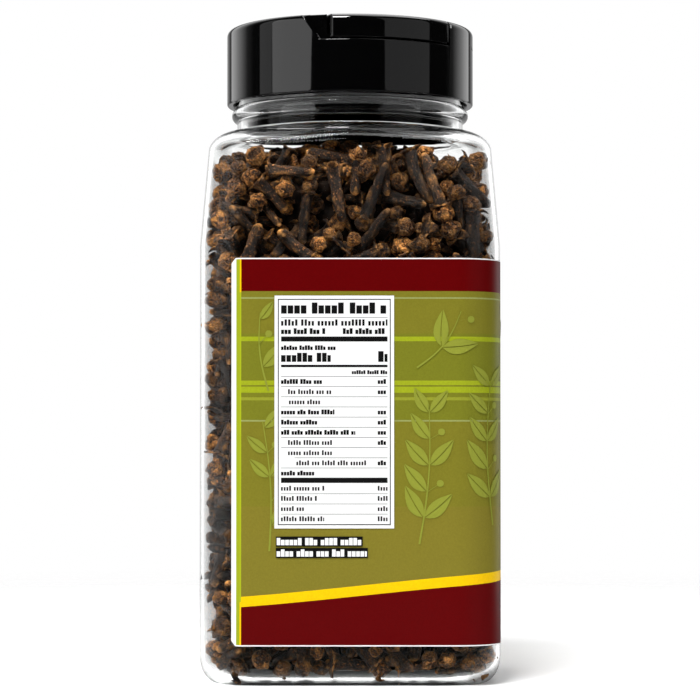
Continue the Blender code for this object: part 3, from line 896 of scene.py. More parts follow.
sprig = {
    "seed": 3,
    "stem": 0.42 * mm,
    "leafLength": (6.4 * mm, 9.2 * mm),
    "leafWidth": 0.4,  # of its length
    "midrib": 0.16 * mm,
    "berry": 0.75 * mm,
    "spacing": 5.6 * mm,
    "margin": (2.7 * mm, 19.0 * mm, 75.2 * mm),  # no leaf goes past these: left end, foot, top
    # foot along the label, foot height, lean in degrees, length, sideways bow
    "places": ((8.2, 20.5, -3.0, 28.0, 1.0), (8.0, 55.0, -6.0, 17.0, -1.0), (40.5, 22.0, 4.0, 30.0, 1.0),
               (57.5, 26.0, -1.0, 32.0, -1.5), (40.0, 60.0, 38.0, 15.5, 1.5), (72.0, 22.0, -4.0, 46.0, 3.0),
               (86.0, 26.0, 8.0, 40.0, -3.0), (102.0, 22.0, -10.0, 30.0, 2.0),
               (114.0, 24.0, 4.0, 12.0, 2.0), (183.0, 22.0, 8.0, 44.0, -3.0), (199.0, 27.0, -8.0, 38.0, 3.0)),
}


def addLeaf(bm, base, heading, length, bow):
    # a slim pointed leaf of two halves beside a bare midrib
    width = length * sprig["leafWidth"] / 2
    ahead = Vector((math.sin(heading), math.cos(heading)))
    aside = Vector((math.cos(heading), -math.sin(heading)))
    lift = panel["sprigLevel"] * panel["sheet"]
    tip = base + ahead * length + aside * (bow * length)
    left, foot, top = sprig["margin"]
    if tip.x - width / 2 < left or not foot < tip.y < top:
        return

    for near, far in ((-1.0, 0.0), (0.0, 1.0)):
        def place(across, along):
            reach = near + (far - near) * across
            half = width * math.sin(math.pi * along**0.8) + 0.02 * mm
            offset = reach * half + (sprig["midrib"] / 2 if near == 0.0 else -sprig["midrib"] / 2)
            flat = base + ahead * (length * along) + aside * (offset + bow * length * along**2)
            return onLabel(flat.x, flat.y, lift)

        addSheet(bm, 3, 10, place)


def addSprig(bm, draw, u, v, lean, length, bow):
    # a bowed stem with pairs of leaves, every other pair with a berry for its right leaf
    lean = math.radians(lean)
    lift = panel["sprigLevel"] * panel["sheet"]

    def stemPoint(share):
        side = bow * math.sin(math.pi * share)
        return Vector((u + length * share * math.sin(lean) + side * math.cos(lean),
                       v + length * share * math.cos(lean) - side * math.sin(lean)))

    def stemPlace(across, along):
        point = stemPoint(along)
        half = sprig["stem"] * (1.0 - 0.6 * along) * (across - 0.5)
        return onLabel(point.x + half * math.cos(lean), point.y - half * math.sin(lean), lift)

    addSheet(bm, 1, 24, stemPlace)
    count = int(length / sprig["spacing"])
    for i in range(1, count + 1):
        share = i / (count + 0.3)
        size = draw.uniform(*sprig["leafLength"]) * (1.15 - 0.5 * share)
        base = stemPoint(share)
        for way in (-1.0, 1.0):
            heading = lean + way * draw.uniform(0.7, 0.95)
            start = base + Vector((math.sin(heading), math.cos(heading))) * 0.3 * mm
            if way > 0.0 and i % 2 == 0:
                addBerry(bm, base, heading, size * 0.45)
            else:
                addLeaf(bm, start, heading, size, -way * 0.12)


def addBerry(bm, base, heading, reach):
    # a small disc on a short stalk
    ahead = Vector((math.sin(heading), math.cos(heading)))
    middle = base + ahead * reach
    lift = panel["sprigLevel"] * panel["sheet"]

    def stalkPlace(across, along):
        flat = base + ahead * (reach * along)
        return onLabel(flat.x + (across - 0.5) * 0.2 * mm, flat.y, lift)

    def discPlace(across, along):
        turn = math.tau * across
        size = sprig["berry"] * (0.02 + 0.98 * along)
        return onLabel(middle.x + size * math.cos(turn), middle.y - size * math.sin(turn), 1.2 * lift)

    addSheet(bm, 1, 3, stalkPlace)
    addSheet(bm, 16, 1, discPlace)


def buildSprigs():
    draw = random.Random(sprig["seed"])
    bm = bmesh.new()
    for u, v, lean, length, bow in sprig["places"]:
        addSprig(bm, draw, u * mm, v * mm, lean, length * mm, bow * mm)
    addPrint("label_sprigs", bm, label["leaf"])


mainPanel = {
    "middle": 148.6 * mm,  # the middle of the back
    "low": 27.0 * mm,
    "high": 72.0 * mm,
    "half": 20.5 * mm,
    "border": 1.3 * mm,
    "round": 6.0 * mm,
}


def roundedPlate(bm, half, low, high, turn, lift):
    def place(across, along):
        u = half * (2.0 * across - 1.0)
        cut = endCut(half - abs(u), turn)
        return onLabel(mainPanel["middle"] + u, low + cut + (high - low - 2.0 * cut) * along, lift)

    addSheet(bm, 60, 2, place)


def buildMainPanel():
    low, high, half, turn = mainPanel["low"], mainPanel["high"], mainPanel["half"], mainPanel["round"]
    border = mainPanel["border"]
    for name, colour, inset, level in (
            ("label_plaque_rim", label["lime"], 0.0, panel["sprigLevel"]),
            ("label_plaque", panel["cream"], border, panel["plateLevel"])):
        bm = bmesh.new()
        roundedPlate(bm, half - inset, low + inset, high - inset, turn - inset, level * panel["sheet"])
        addPrint(name, bm, colour)


buildPanel()
buildSprigs()
buildMainPanel()
print("print made")


# Cloves

clove = {
    "seed": 5,
    "columns": 12,
    "rows": 14,
    "looks": 3,  # differently wrinkled shapes of each kind
    # the stem's length and half width, the crown's half width, the bud's radius, in mm,
    # how far the teeth lean out in degrees, and their length
    "kinds": {
        "slender": (12.8, 1.15, 1.6, 2.1, 40.0, 2.1),
        "stout": (10.8, 1.38, 1.95, 2.35, 50.0, 2.3),
        "short": (8.8, 1.25, 1.75, 2.2, 34.0, 2.0),
        "open": (11.6, 1.25, 1.75, 0.0, 34.0, 2.4),
        "bud": (0.0, 0.0, 0.0, 2.2, 0.0, 0.0),
    },
    "shares": (0.27, 0.25, 0.2, 0.18, 0.1),
    "shades": (0.4, 0.6, 0.85, 1.1, 1.4),  # from dark to pale cloves
    "stemShape": ((0.0, 0.0), (0.04, 0.7), (0.12, 0.88), (0.3, 0.92), (0.6, 1.0), (0.8, 1.08)),
    "toothHalf": 1.25,
    "toothThick": 0.34,
    "wrinkle": 0.3,
    "voxel": 0.5 * mm,
    "wallGap": 0.12 * mm,
    "coreInset": 10.5 * mm,
    "coreLow": 4.2 * mm,
    "coreTop": 110.0 * mm,
    "moundMiddle": 122.4 * mm,
    "moundEdge": 110.8 * mm,
    # where cloves are tried: along the wall from and to, height from and to, how many tries
    "zones": ((-29.0 * mm, 217.0 * mm, 2.0 * mm, 7.0 * mm, 7000),
              (-29.0 * mm, 217.0 * mm, 5.0 * mm, 12.0 * mm, 4000),
              (172.0 * mm, 232.0 * mm, 4.0 * mm, 88.0 * mm, 10000),
              (-29.0 * mm, 217.0 * mm, 84.0 * mm, 114.0 * mm, 11000)),
    # how far from the wall a clove may end, the share of the tries, the cloves' sizes
    "stages": ((0.5 * mm, 0.36, (0.9, 1.1)), (3.0 * mm, 0.3, (0.86, 1.05)),
               (7.0 * mm, 0.34, (0.66, 0.95))),
    "wallStart": 15.0,  # mm inside the wall, where a clove starts on its way out
    "topTries": 3000,
    "topSizes": (0.88, 1.1),
    "bend": 0.55,  # how much the cloves are bowed
    "packedCore": (21.5, 4.0, 110.0),  # no clove goes in here: half width, low, high in mm
    # stalkDark to stalkLight: the stem's own dark brown, with painted shade in its sunken furrows and painted
    # highlight on its raised ones
    "stalkDark": (0.0045, 0.003, 0.0024),
    "stalkMid": (0.0125, 0.0072, 0.0045),
    "stalkLight": (0.09, 0.033, 0.01),
    "speck": (0.52, 0.21, 0.058),
    # painted shade, laid along the crease lines of the buds and in the hollows
    "creaseShade": (0.006, 0.0026, 0.0014),
    # budDark to budMid: the bud's own mottled brown; budLight is partly a painted highlight
    "budDark": (0.04, 0.0135, 0.004),
    "budMid": (0.21, 0.075, 0.0175),
    "budLight": (0.68, 0.3, 0.08),
    # rim: painted highlight on raised furrows, tooth rims and tips, and the broken foot's own paler colour
    "rim": (0.72, 0.32, 0.08),
    # coreDark and coreLight: the painted shade deep in the heap
    "coreDark": (0.004, 0.0026, 0.002),
    "coreLight": (0.02, 0.01, 0.005),
}


def cloveMaterial():
    material, tree = newMaterial("dried clove")
    grain = addNode(tree, "ShaderNodeAttribute", {"attribute_name": "grain"}).outputs["Vector"]
    tone = addNode(tree, "ShaderNodeAttribute", {"attribute_name": "tone"}).outputs["Vector"]
    parts = addNode(tree, "ShaderNodeSeparateXYZ", None, {0: tone})
    bud, shade, ridge = parts.outputs[0], parts.outputs[1], parts.outputs[2]
    raised = calc(tree, "MAXIMUM", ridge, 0.0)
    sunken = calc(tree, "MINIMUM", calc(tree, "MULTIPLY", ridge, -1.0), 1.0, clamp=True)
    stretched = addNode(tree, "ShaderNodeMapping", None, {"Vector": grain, "Scale": (1.0, 1.0, 0.34)})
    furrows = noiseValue(tree, stretched.outputs[0], 1.3, 5.0, 0.7, 0.6)
    specks = noiseValue(tree, grain, 2.2, 4.0, 0.72)
    folds = noiseValue(tree, grain, 0.62, 2.5, 0.55, 1.6)
    # crease falls to 0 along the fold lines of the buds, which the bump sinks and painted shade darkens
    valley = calc(tree, "ABSOLUTE", calc(tree, "SUBTRACT", folds, 0.5))
    crease = ramp(tree, valley, [(0.0, 0.0), (0.035, 0.05), (0.08, 0.75), (0.13, 1.0)])
    # the stem follows the bump: darker in the sunken furrows as painted shade, lighter on the raised ones as
    # painted highlight
    stalk = ramp(tree, furrows, [(0.42, clove["stalkDark"]), (0.55, clove["stalkMid"]),
                                 (0.7, clove["stalkLight"])])
    speckled = calc(tree, "MULTIPLY", ramp(tree, specks, [(0.57, 0.0), (0.66, 1.0)]),
                    ramp(tree, furrows, [(0.44, 0.15), (0.58, 1.0)]))
    stalk = mixColour(tree, speckled, stalk, clove["speck"])
    # the bud's mottled brown, its palest specks, raised in the bump, a painted highlight
    skin = ramp(tree, specks, [(0.3, clove["budDark"]), (0.5, clove["budMid"]),
                               (0.7, clove["budLight"])])
    # painted shade along the bud's crease lines
    skin = mixColour(tree, calc(tree, "SUBTRACT", 1.0, crease), skin, clove["creaseShade"])
    colour = mixColour(tree, bud, stalk, skin)
    # painted highlight: the rim colour where ridge is above 0, and on the broken foot the clove's paler
    # inside
    colour = mixColour(tree, calc(tree, "MULTIPLY", raised, ramp(tree, specks, [(0.35, 0.25), (0.6, 1.0)])),
                       colour, clove["rim"])
    # painted shade where ridge falls below 0, in the hollows of the buds and the middles of the teeth
    colour = mixColour(tree, calc(tree, "MULTIPLY", sunken, 0.85), colour, clove["creaseShade"])
    colour = mixColour(tree, 1.0, colour, shade, "MULTIPLY")
    relief = calc(tree, "MULTIPLY", crease, bud)
    height = calc(tree, "ADD", calc(tree, "ADD", furrows, relief), calc(tree, "MULTIPLY", specks, 0.5))
    roughness = ramp(tree, furrows, [(0.3, 0.32), (0.7, 0.6)])
    shader = addNode(tree, "ShaderNodeBsdfPrincipled", None, {
        "Base Color": colour, "Roughness": roughness, "IOR": 1.45, "Specular IOR Level": 0.2,
        "Normal": bumpFrom(tree, height, 1.0, 0.7 * mm)})
    finishMaterial(tree, shader.outputs[0])
    return material


def wrinkled(point, seed, amount, scale):
    # moves a point of a clove, in millimetres, by smooth noise
    place = point * scale + Vector((seed * 7.3, seed * 3.1, seed * 1.7))
    return point + noise.noise_vector(place) * amount


def stemWidth(share, half, crown):
    shares, widths = zip(*clove["stemShape"])
    width = half * float(np.interp(share, shares, widths))
    if share > 0.8:
        width += (crown - width) * math.sin((share - 0.8) / 0.2 * math.pi / 2)
    return width


def stemGrid(length, half, crown, seed):
    def place(across, along):
        share = min(1.0, max(0.0, along * 1.12 - 0.06))
        if along in (0.0, 1.0):
            return Vector((0.0, 0.0, share * length))
        turn = math.tau * across
        furrow = noise.noise(Vector((math.cos(turn) * 2.1, math.sin(turn) * 2.1,
                                     share * length * 0.22 + seed * 9.0)))
        knob = noise.noise(Vector((math.cos(turn) * 1.3, math.sin(turn) * 1.3,
                                   share * length * 0.9 + seed * 5.0)))
        width = stemWidth(share, half, crown) * (1.0 + 0.24 * furrow + 0.16 * knob)
        width *= 1.0 + 0.05 * math.cos(4.0 * turn)
        point = Vector((width * math.cos(turn), width * math.sin(turn), share * length))
        return wrinkled(point, seed, clove["wrinkle"], 0.55)

    return closeSkin(wrappedGrid(clove["columns"], clove["rows"], place))


def stemRidges(points, length, half, crown):
    # 1 on the raised furrows and the broken foot, below 0 in the hollows
    # the material paints highlight on the raised furrows; the broken foot is paler of itself
    shares = np.clip(points[:, 2] / length, 0.0, 1.0)
    widths = np.array([stemWidth(share, half, crown) for share in shares])
    ratio = np.hypot(points[:, 0], points[:, 1]) / np.maximum(widths, 0.2)
    foot = 0.8 * np.clip(1.0 - points[:, 2] / 0.35, 0.0, 1.0)
    return np.clip(np.maximum((ratio - 1.1) * 2.6, foot), 0.0, 0.9)


def budGrid(radius, centre, seed):
    columns, rows = clove["columns"] + 4, 11

    def place(across, along):
        down = math.pi * along
        turn = math.tau * across
        if along in (0.0, 1.0):
            turn = 0.0
        petal = turn - 0.6 * down + seed
        fold = abs(math.sin(2.0 * petal)) ** 0.4
        size = radius * (0.82 + 0.2 * fold * math.sin(down) ** 0.6)
        point = Vector((math.sin(down) * math.cos(turn), math.sin(down) * math.sin(turn),
                        math.cos(down) * 0.93)) * size
        point = wrinkled(point, seed + 4.0, clove["wrinkle"] * 1.5, 0.55)
        return wrinkled(point, seed + 8.0, clove["wrinkle"] * 1.1, 1.3) + Vector((0.0, 0.0, centre))

    return closeSkin(wrappedGrid(columns, rows, place))


def budRidges(points, radius, centre):
    # above 0 where the bud bulges, lightened as painted highlight, and below 0 in its hollows, darkened as
    # painted shade
    distance = np.linalg.norm(points - np.array([0.0, 0.0, centre]), axis=1) / radius
    return np.clip((distance - 0.93) * 4.0, -1.0, 0.6)


def toothGrid(base, crown, lean, length, turn, seed):
    curl = 0.75 + 0.7 * noise.noise(Vector((seed, turn, 0.0)))
    out = Vector((math.cos(turn), math.sin(turn), 0.0))
    side = Vector((-math.sin(turn), math.cos(turn), 0.0))
    up = Vector((0.0, 0.0, 1.0))
    lean = math.radians(lean * (1.0 + 0.5 * noise.noise(Vector((turn, seed, 3.0)))))

    def place(across, along):
        around = math.tau * across
        bend = lean + curl * along
        middle = (out * (crown * 0.7 + length * along * math.sin(bend))
                  + up * (base + length * along * math.cos(bend)))
        fade = max(0.0, 1.0 - along**2.2)
        width = clove["toothHalf"] * (fade * (0.8 + 0.45 * along) + 0.03)
        thick = clove["toothThick"] * (1.0 - 0.5 * along)
        if along in (0.0, 1.0):
            width = thick = 0.0
        facing = (out * math.cos(bend) - up * math.sin(bend))
        sideways = width * math.cos(around)
        cup = 0.5 * (sideways / clove["toothHalf"]) ** 2
        return middle + side * sideways + facing * (thick * math.sin(around) - cup)

    return closeSkin(wrappedGrid(8, 5, place))


def toothRims(points, base, length, turn):
    # light along the rim and at the tip of a tooth, a painted highlight, with values a little below 0 between
    # them, darkened as painted shade
    side = np.array([-math.sin(turn), math.cos(turn), 0.0])
    rim = np.clip((np.abs(points @ side) / clove["toothHalf"] - 0.45) * 2.2, 0.0, 1.0)
    tip = np.clip((points[:, 2] - base) / length - 0.25, 0.0, 0.8)
    return np.clip(np.maximum(rim, tip) - 0.12, -0.2, 0.95)


def gridArrays(bm, bud, edgeOf=None):
    # points, triangles and tone of one closed skin
    bmesh.ops.triangulate(bm, faces=bm.faces)
    bm.verts.index_update()
    points = np.array([vert.co for vert in bm.verts])
    triangles = np.array([[vert.index for vert in face.verts] for face in bm.faces])
    tone = np.zeros((len(points), 3))
    tone[:, 0] = bud
    if edgeOf is not None:
        tone[:, 2] = edgeOf(points)
    bm.free()
    return points, triangles, tone


def joinArrays(skins):
    points, triangles, tone, count = [], [], [], 0
    for skinPoints, skinTriangles, skinTone in skins:
        points.append(skinPoints)
        triangles.append(skinTriangles + count)
        tone.append(skinTone)
        count += len(skinPoints)
    return np.concatenate(points), np.concatenate(triangles), np.concatenate(tone)


def cloveShape(kind, seed):
    # one clove in millimetres along +Z, its middle at the origin
    length, half, crown, bud, lean, tooth = clove["kinds"][kind]
    skins = []
    lattice = []
    step = clove["voxel"] / mm * 0.9
    reach = np.arange(-3.0, 3.01, step)
    if length:
        skins.append(gridArrays(stemGrid(length, half, crown, seed), 0.0,
                                lambda p: stemRidges(p, length, half, crown)))
        for i in range(4):
            turn = math.pi / 2 * i + 0.4 + 0.3 * noise.noise(Vector((seed, i, 5.0)))
            teeth = toothGrid(length - 0.7, crown, lean, tooth, turn, seed + i)
            skins.append(gridArrays(teeth, 0.3, lambda p: toothRims(p, length - 0.7, tooth, turn)))
        xs, ys, zs = np.meshgrid(reach, reach, np.arange(0.2, length + 0.8, step))
        widths = np.interp(zs, [0.0, length * 0.8, length, length + 0.8],
                           [half * 0.8, half * 1.05, crown, crown + 0.3])
        inside = xs**2 + ys**2 < (widths - 0.3)**2
        lattice.append(np.stack([xs[inside], ys[inside], zs[inside]], axis=1))
    if bud:
        centre = length + bud * 0.62 if length else 0.0
        skins.append(gridArrays(budGrid(bud, centre, seed), 1.0, lambda p: budRidges(p, bud, centre)))
        xs, ys, zs = np.meshgrid(reach, reach, reach)
        inside = xs**2 + ys**2 + zs**2 < (bud - 0.3)**2
        lattice.append(np.stack([xs[inside], ys[inside], zs[inside] + centre], axis=1))
    points, triangles, tone = joinArrays(skins)
    shift = np.array([0.0, 0.0, (points[:, 2].min() + points[:, 2].max()) / 2])
    probe = points[::3] * np.array([0.84, 0.84, 0.97])
    return {"points": points - shift, "triangles": triangles, "tone": tone,
            "probe": probe - shift, "solid": np.concatenate(lattice) - shift}


def cavityProfile():
    # half width and roundness of the jar's inside against height
    sections = [section for section in reversed(innerSections()) if section[0] > jar["footInner"] * 1.01]
    heights = np.array([z for half, roundness, z in sections])
    order = np.argsort(heights, kind="stable")
    halves = np.array([half for half, roundness, z in sections])
    rounds = np.array([roundness for half, roundness, z in sections])
    return heights[order], halves[order], rounds[order]


cavity = cavityProfile()


def wallDepth(points):
    # how far inside the jar's wall each point lies
    heights, halves, rounds = cavity
    half = np.interp(points[..., 2], heights, halves)
    roundness = np.interp(points[..., 2], heights, rounds)
    corner = half * (jar["corner"] / jar["half"] * (1.0 - roundness) + roundness)
    x = np.abs(points[..., 0]) - (half - corner)
    y = np.abs(points[..., 1]) - (half - corner)
    outside = np.hypot(np.maximum(x, 0.0), np.maximum(y, 0.0))
    return corner - outside - np.minimum(np.maximum(x, y), 0.0)


def floorDepth(points):
    middle = np.maximum(np.abs(points[..., 0]), np.abs(points[..., 1])) < jar["footInner"]
    floor = jar["baseWall"] + 0.1 * mm + np.where(middle, jar["pushUp"], 0.0)
    return points[..., 2] - floor


class Packing:
    # a box of small cells round the jar, which remembers where cloves already are

    def __init__(self):
        self.cell = clove["voxel"]
        self.low = np.array([-jar["half"], -jar["half"], 0.0])
        size = np.array([2.0 * jar["half"], 2.0 * jar["half"], jar["shoulderTop"] + 25.0 * mm])
        self.shape = np.ceil(size / self.cell).astype(int) + 1
        self.taken = np.zeros(self.shape, dtype=bool)

    def cells(self, points):
        index = ((points - self.low) / self.cell).astype(int)
        index = np.clip(index, 0, self.shape - 1)
        return index[..., 0], index[..., 1], index[..., 2]

    def free(self, points):
        return ~self.taken[self.cells(points)].any(axis=-1)

    def fill(self, points):
        self.taken[self.cells(points)] = True


def turnTo(direction, spin):
    turn = Vector(direction).to_track_quat("Z", "Y").to_matrix() @ Matrix.Rotation(spin, 3, "Z")
    return np.array(turn)


def bent(points, bend):
    # bows a clove sideways along its length
    curved = points.copy()
    curved[:, 0] += bend * (points[:, 2] / 8.0) ** 2
    return curved


def placedPoints(points, place):
    rotation, scale, bend, centre = place
    return bent(points, bend) @ rotation.T * (scale * mm) + centre


def moves(count, step, way):
    # equal steps along a way, step in millimetres
    return np.arange(count)[:, None] * step * mm * np.array(way)[None, :]


def clearPlaces(packing, swept):
    # which places of a moved clove touch neither the jar nor another clove
    depth = np.minimum(wallDepth(swept), floorDepth(swept)).min(axis=1)
    return packing.free(swept) & (depth > clove["wallGap"])


def tryWall(packing, shape, draw, zone, limit, sizes):
    # a clove pushed from inside out to the wall or to the cloves already there, then dropped
    along = draw.uniform(zone[0], zone[1])
    z = draw.uniform(zone[2], zone[3])
    wall = wallPoint(along, 0.0)
    near = wallPoint(along, -1.0 * mm)
    out = (wall - near).normalized()
    side = Vector((-out.y, out.x, 0.0))
    lie = draw.uniform(0.0, math.tau)
    facing = draw.random() < 0.3  # some point out at the wall, and the rest lie along it
    tilt = draw.uniform(0.6, 1.45) if facing else draw.gauss(0.0, 0.24)
    direction = (side * math.cos(lie) + Vector((0.0, 0.0, 1.0)) * math.sin(lie)) * math.cos(tilt)
    direction += out * math.sin(tilt)
    rotation = turnTo(direction, draw.uniform(0.0, math.tau))
    scale = draw.uniform(*sizes)
    bend = draw.gauss(0.0, clove["bend"])
    start = np.array(wall) - np.array(out) * clove["wallStart"] * mm + np.array([0.0, 0.0, z])
    place = (rotation, scale, bend, start)
    probe = placedPoints(shape["probe"], place)
    shifts = moves(30, 0.5, out)
    swept = probe[None, :, :] + shifts[:, None, :]
    clear = clearPlaces(packing, swept)
    if not clear.any():
        return None
    last = int(np.flatnonzero(clear)[-1])
    if wallDepth(swept[last]).min() > limit or swept[last][:, 2].max() > moundHeight(*start[:2]):
        return None
    drops = moves(12, 0.4, (0.0, 0.0, -1.0))
    clear = clearPlaces(packing, swept[last][None, :, :] + drops[:, None, :])
    return rotation, scale, bend, start + shifts[last] + drops[int(np.argmin(clear)) - 1]


def moundHeight(x, y):
    # the heap's top, lower towards the walls
    share = min(1.0, max(abs(x), abs(y)) / (30.0 * mm))
    return clove["moundMiddle"] + (clove["moundEdge"] - clove["moundMiddle"]) * share**2


def tryTop(packing, shape, draw):
    # a clove dropped on to the heap
    half = jar["shoulderHalf"] - jar["wall"] - 1.5 * mm
    x, y = draw.uniform(-half, half), draw.uniform(-half, half)
    lie = draw.uniform(0.0, math.tau)
    if draw.random() < 0.22:  # a few stand up, and the rest lie
        tilt = draw.choice((-1.0, 1.0)) * draw.uniform(0.7, 1.4)
    else:
        tilt = draw.gauss(0.0, 0.3)
    direction = (math.cos(lie) * math.cos(tilt), math.sin(lie) * math.cos(tilt), math.sin(tilt))
    rotation = turnTo(direction, draw.uniform(0.0, math.tau))
    place = (rotation, draw.uniform(*clove["topSizes"]), draw.gauss(0.0, clove["bend"]),
             np.array([x, y, 128.0 * mm]))  # well above the heap
    probe = placedPoints(shape["probe"], place)
    shifts = moves(64, 0.5, (0.0, 0.0, -1.0))
    swept = probe[None, :, :] + shifts[:, None, :]
    clear = clearPlaces(packing, swept)
    if not clear.any():
        return None
    first = int(np.argmax(clear))
    later = clear[first:]
    if later.all():
        return None
    last = first + int(np.argmin(later)) - 1
    if swept[last][:, 2].max() > moundHeight(x, y):
        return None
    return (*place[:3], place[3] + shifts[last])


def corePoint(across, along):
    # a dark skin in the middle of the heap, painted shade that shows only between cloves
    turn = math.tau * across
    half = jar["half"] - clove["coreInset"]
    low, high = clove["coreLow"], clove["coreTop"]
    share = min(1.0, max(0.0, (along - 0.12) / 0.76))
    width = half * math.sin(min(1.0, along / 0.12, (1.0 - along) / 0.12) * math.pi / 2)
    z = low + (high - low) * share + (4.0 * mm * (along - 0.88) / 0.12 if along > 0.88 else 0.0)
    point = bodyPoint(turn, width, 0.0, z)
    bumps = noise.noise_vector(point / (3.0 * mm)) * 1.2 * mm
    bumps.z *= min(1.0, along / 0.2)
    return point + bumps


def pickKind(draw, progress):
    # long cloves go in first, and loose buds and short ones fill what is left
    shares = list(clove["shares"])
    shares[-1] *= 1.6 * progress**2
    return draw.choices(list(clove["kinds"]), shares)[0]


def packCloves():
    # every clove's shape and place, by kind
    draw = random.Random(clove["seed"])
    kinds = list(clove["kinds"])
    looks = range(clove["looks"])
    shapes = {kind: [cloveShape(kind, 1.0 + 10.0 * i + look) for look in looks]
              for i, kind in enumerate(kinds)}
    placed = {kind: [] for kind in kinds}
    packing = Packing()
    half, low, high = clove["packedCore"]
    step = clove["voxel"] / mm * 0.9
    lattice = np.arange(-half, half + 0.1, step) * mm
    xs, ys, zs = np.meshgrid(lattice, lattice, np.arange(low, high, step) * mm)
    packing.fill(np.stack([xs.ravel(), ys.ravel(), zs.ravel()], axis=1))

    def addClove(progress, findPlace):
        kind = pickKind(draw, progress)
        shape = draw.choice(shapes[kind])
        place = findPlace(shape)
        if place:
            packing.fill(placedPoints(shape["solid"], place))
            placed[kind].append((shape, place))

    for limit, share, sizes in clove["stages"]:
        for *zone, tries in clove["zones"]:
            count = int(tries * share)
            for i in range(count):
                addClove(i / count, lambda shape: tryWall(packing, shape, draw, zone, limit, sizes))
    for i in range(clove["topTries"]):
        addClove(i / clove["topTries"], lambda shape: tryTop(packing, shape, draw))
    return placed


def buildCloves():
    draw = random.Random(clove["seed"] + 1)
    material = cloveMaterial()
    for kind, places in packCloves().items():
        skins = []
        grains = []
        for shape, place in places:
            tone = shape["tone"].copy()
            tone[:, 1] = draw.choice(clove["shades"]) * draw.uniform(0.85, 1.15)
            skins.append((placedPoints(shape["points"], place), shape["triangles"], tone))
            grains.append(shape["points"] + np.array([draw.uniform(0.0, 400.0) for axis in range(3)]))
        points, triangles, tone = joinArrays(skins)
        mesh = bpy.data.meshes.new("cloves_" + kind)
        mesh.from_pydata(points, [], triangles)
        for name, values in (("grain", np.concatenate(grains)), ("tone", tone)):
            mesh.attributes.new(name, "FLOAT_VECTOR", "POINT").data.foreach_set("vector", values.ravel())
        piece = addPiece("cloves_" + kind, mesh, material, "jar_body")
        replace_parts(piece, "cloves")
        print("cloves of kind", kind, len(places), "triangles", len(triangles))


def buildCore():
    core = meshOf("clove_core", closeSkin(wrappedGrid(120, 120, corePoint)))
    dark, tree = newMaterial("shade between the cloves")
    patches = noiseValue(tree, objectPlace(tree), 600.0, 4.0, 0.6)
    colour = ramp(tree, patches, [(0.4, clove["coreDark"]), (0.75, clove["coreLight"])])
    shader = addNode(tree, "ShaderNodeBsdfPrincipled", None, {
        "Base Color": colour, "Roughness": 0.85, "Specular IOR Level": 0.1,
        "Normal": bumpFrom(tree, patches, 0.8, 0.5 * mm)})
    finishMaterial(tree, shader.outputs[0])
    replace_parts(addPiece("clove_core", core, dark, "jar_body"), "cloves")


buildCloves()
buildCore()
print("cloves made")


# Studio

studio = {
    "floorHalf": 1.6,
    "floorFade": (0.16, 0.55),  # the floor fades into the backdrop between these distances
    "floor": (0.93, 0.93, 0.93),
    "backdrop": (1.0, 1.0, 1.0),
    # brightness of the room that is mirrored, from in front (0) round to behind (1)
    "glow": ((0.0, 0.0), (0.6, 0.01), (0.68, 0.1), (0.76, 0.6), (0.85, 1.0), (0.91, 1.0),
             (0.92, 0.1), (0.94, 0.1), (0.96, 0.25), (1.0, 0.35)),
    "aim": 85.0 * mm,  # the height that the lights face
    # name: (turn from the front in degrees, elevation, distance, width, height, watts)
    "lights": {
        "left_box": (-56.0, 20.0, 1.0, 0.72, 0.95, 3.8),
        "left_fill": (-84.0, 20.0, 1.0, 0.26, 0.95, 0.47),
        "right_panel": (55.0, 20.0, 1.0, 0.84, 0.95, 1.13),
        "key": (-16.0, 56.0, 0.9, 0.24, 0.24, 9.0),
        "top": (150.0, 76.0, 0.8, 0.6, 0.6, 3.8),
    },
}


def addLights():
    target = Vector((0.0, 0.0, studio["aim"]))
    for name, (turn, elevation, distance, width, height, watts) in studio["lights"].items():
        data = bpy.data.lights.new(name, "AREA")
        data.shape = "RECTANGLE"
        data.size = width
        data.size_y = height
        data.energy = watts
        lamp = bpy.data.objects.new(name, data)
        around, up = math.radians(turn), math.radians(elevation)
        away = Vector((math.sin(around) * math.cos(up), -math.cos(around) * math.cos(up), math.sin(up)))
        lamp.location = target + away * distance
        lamp.rotation_mode = "QUATERNION"
        lamp.rotation_quaternion = away.to_track_quat("Z", "Y")
        lamp.visible_camera = False
        scene.collection.objects.link(lamp)


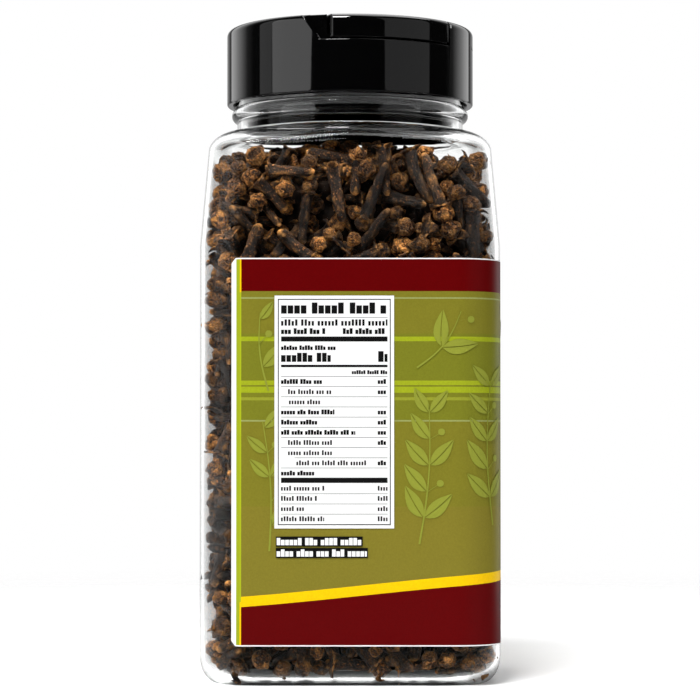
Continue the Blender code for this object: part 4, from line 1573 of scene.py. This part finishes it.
def addBackdrop():
    # white behind the jar, dark in front of it, as a studio with a lit back wall
    world = bpy.data.worlds.new("studio")
    scene.world = world
    world.use_nodes = True
    tree = world.node_tree
    tree.nodes.clear()
    direction = addNode(tree, "ShaderNodeTexCoord").outputs["Generated"]
    split = addNode(tree, "ShaderNodeSeparateXYZ", None, {0: direction})
    share = calc(tree, "MULTIPLY_ADD", split.outputs[1], 0.5)
    share.node.inputs[2].default_value = 0.5
    glow = ramp(tree, share, studio["glow"])
    surround = addNode(tree, "ShaderNodeBackground", None, {"Color": glow, "Strength": 1.5})
    white = addNode(tree, "ShaderNodeBackground", None, {
        "Color": (*studio["backdrop"], 1.0), "Strength": 1.0})
    # white to the camera, and through the plastic where the way is straight, down or back
    path = addNode(tree, "ShaderNodeLightPath")
    straight = calc(tree, "LESS_THAN", path.outputs["Glossy Depth"], 0.5)
    below = calc(tree, "LESS_THAN", split.outputs[2], 0.0)
    behind = calc(tree, "GREATER_THAN", split.outputs[1], 0.75)
    lit = calc(tree, "MAXIMUM", straight, calc(tree, "MAXIMUM", below, behind))
    through = calc(tree, "MULTIPLY", path.outputs["Is Transmission Ray"], lit)
    seen = calc(tree, "MAXIMUM", path.outputs["Is Camera Ray"], through)
    mixed = addNode(tree, "ShaderNodeMixShader", None, {
        "Fac": seen, 1: surround.outputs[0], 2: white.outputs[0]})
    output = addNode(tree, "ShaderNodeOutputWorld")
    tree.links.new(mixed.outputs[0], output.inputs["Surface"])


def addFloor():
    # pale to the camera, dark in what the jar and the cap mirror
    bm = bmesh.new()
    bmesh.ops.create_circle(bm, cap_ends=True, radius=studio["floorHalf"], segments=96)
    floor = bpy.data.objects.new("floor", meshOf("floor", bm))
    scene.collection.objects.link(floor)
    material, tree = newMaterial("pale floor")
    place = objectPlace(tree)
    distance = addNode(tree, "ShaderNodeVectorMath", {"operation": "LENGTH"}, {0: place}).outputs["Value"]
    near, far = studio["floorFade"]
    fade = addNode(tree, "ShaderNodeMapRange", {"interpolation_type": "SMOOTHSTEP"}, {
        "Value": distance, "From Min": near, "From Max": far, "To Min": 0.0, "To Max": 1.0})
    grain = ramp(tree, noiseValue(tree, place, 300.0), [
        (0.3, tuple(0.985 * part for part in studio["floor"])), (0.7, studio["floor"])])
    path = addNode(tree, "ShaderNodeLightPath").outputs
    mirrored = calc(tree, "GREATER_THAN", path["Is Glossy Ray"], path["Is Transmission Ray"])
    grain = mixColour(tree, calc(tree, "MULTIPLY", mirrored, 0.9), grain, (0.0, 0.0, 0.0))
    paint = addNode(tree, "ShaderNodeBsdfPrincipled", None, {
        "Base Color": grain, "Roughness": 0.6, "Specular IOR Level": 0.2})
    clear = addNode(tree, "ShaderNodeBsdfTransparent")
    mixed = addNode(tree, "ShaderNodeMixShader", None, {
        "Fac": fade.outputs[0], 1: paint.outputs[0], 2: clear.outputs[0]})
    finishMaterial(tree, mixed.outputs[0])
    floor.data.materials.append(material)


addLights()
addBackdrop()
addFloor()
print("studio made")
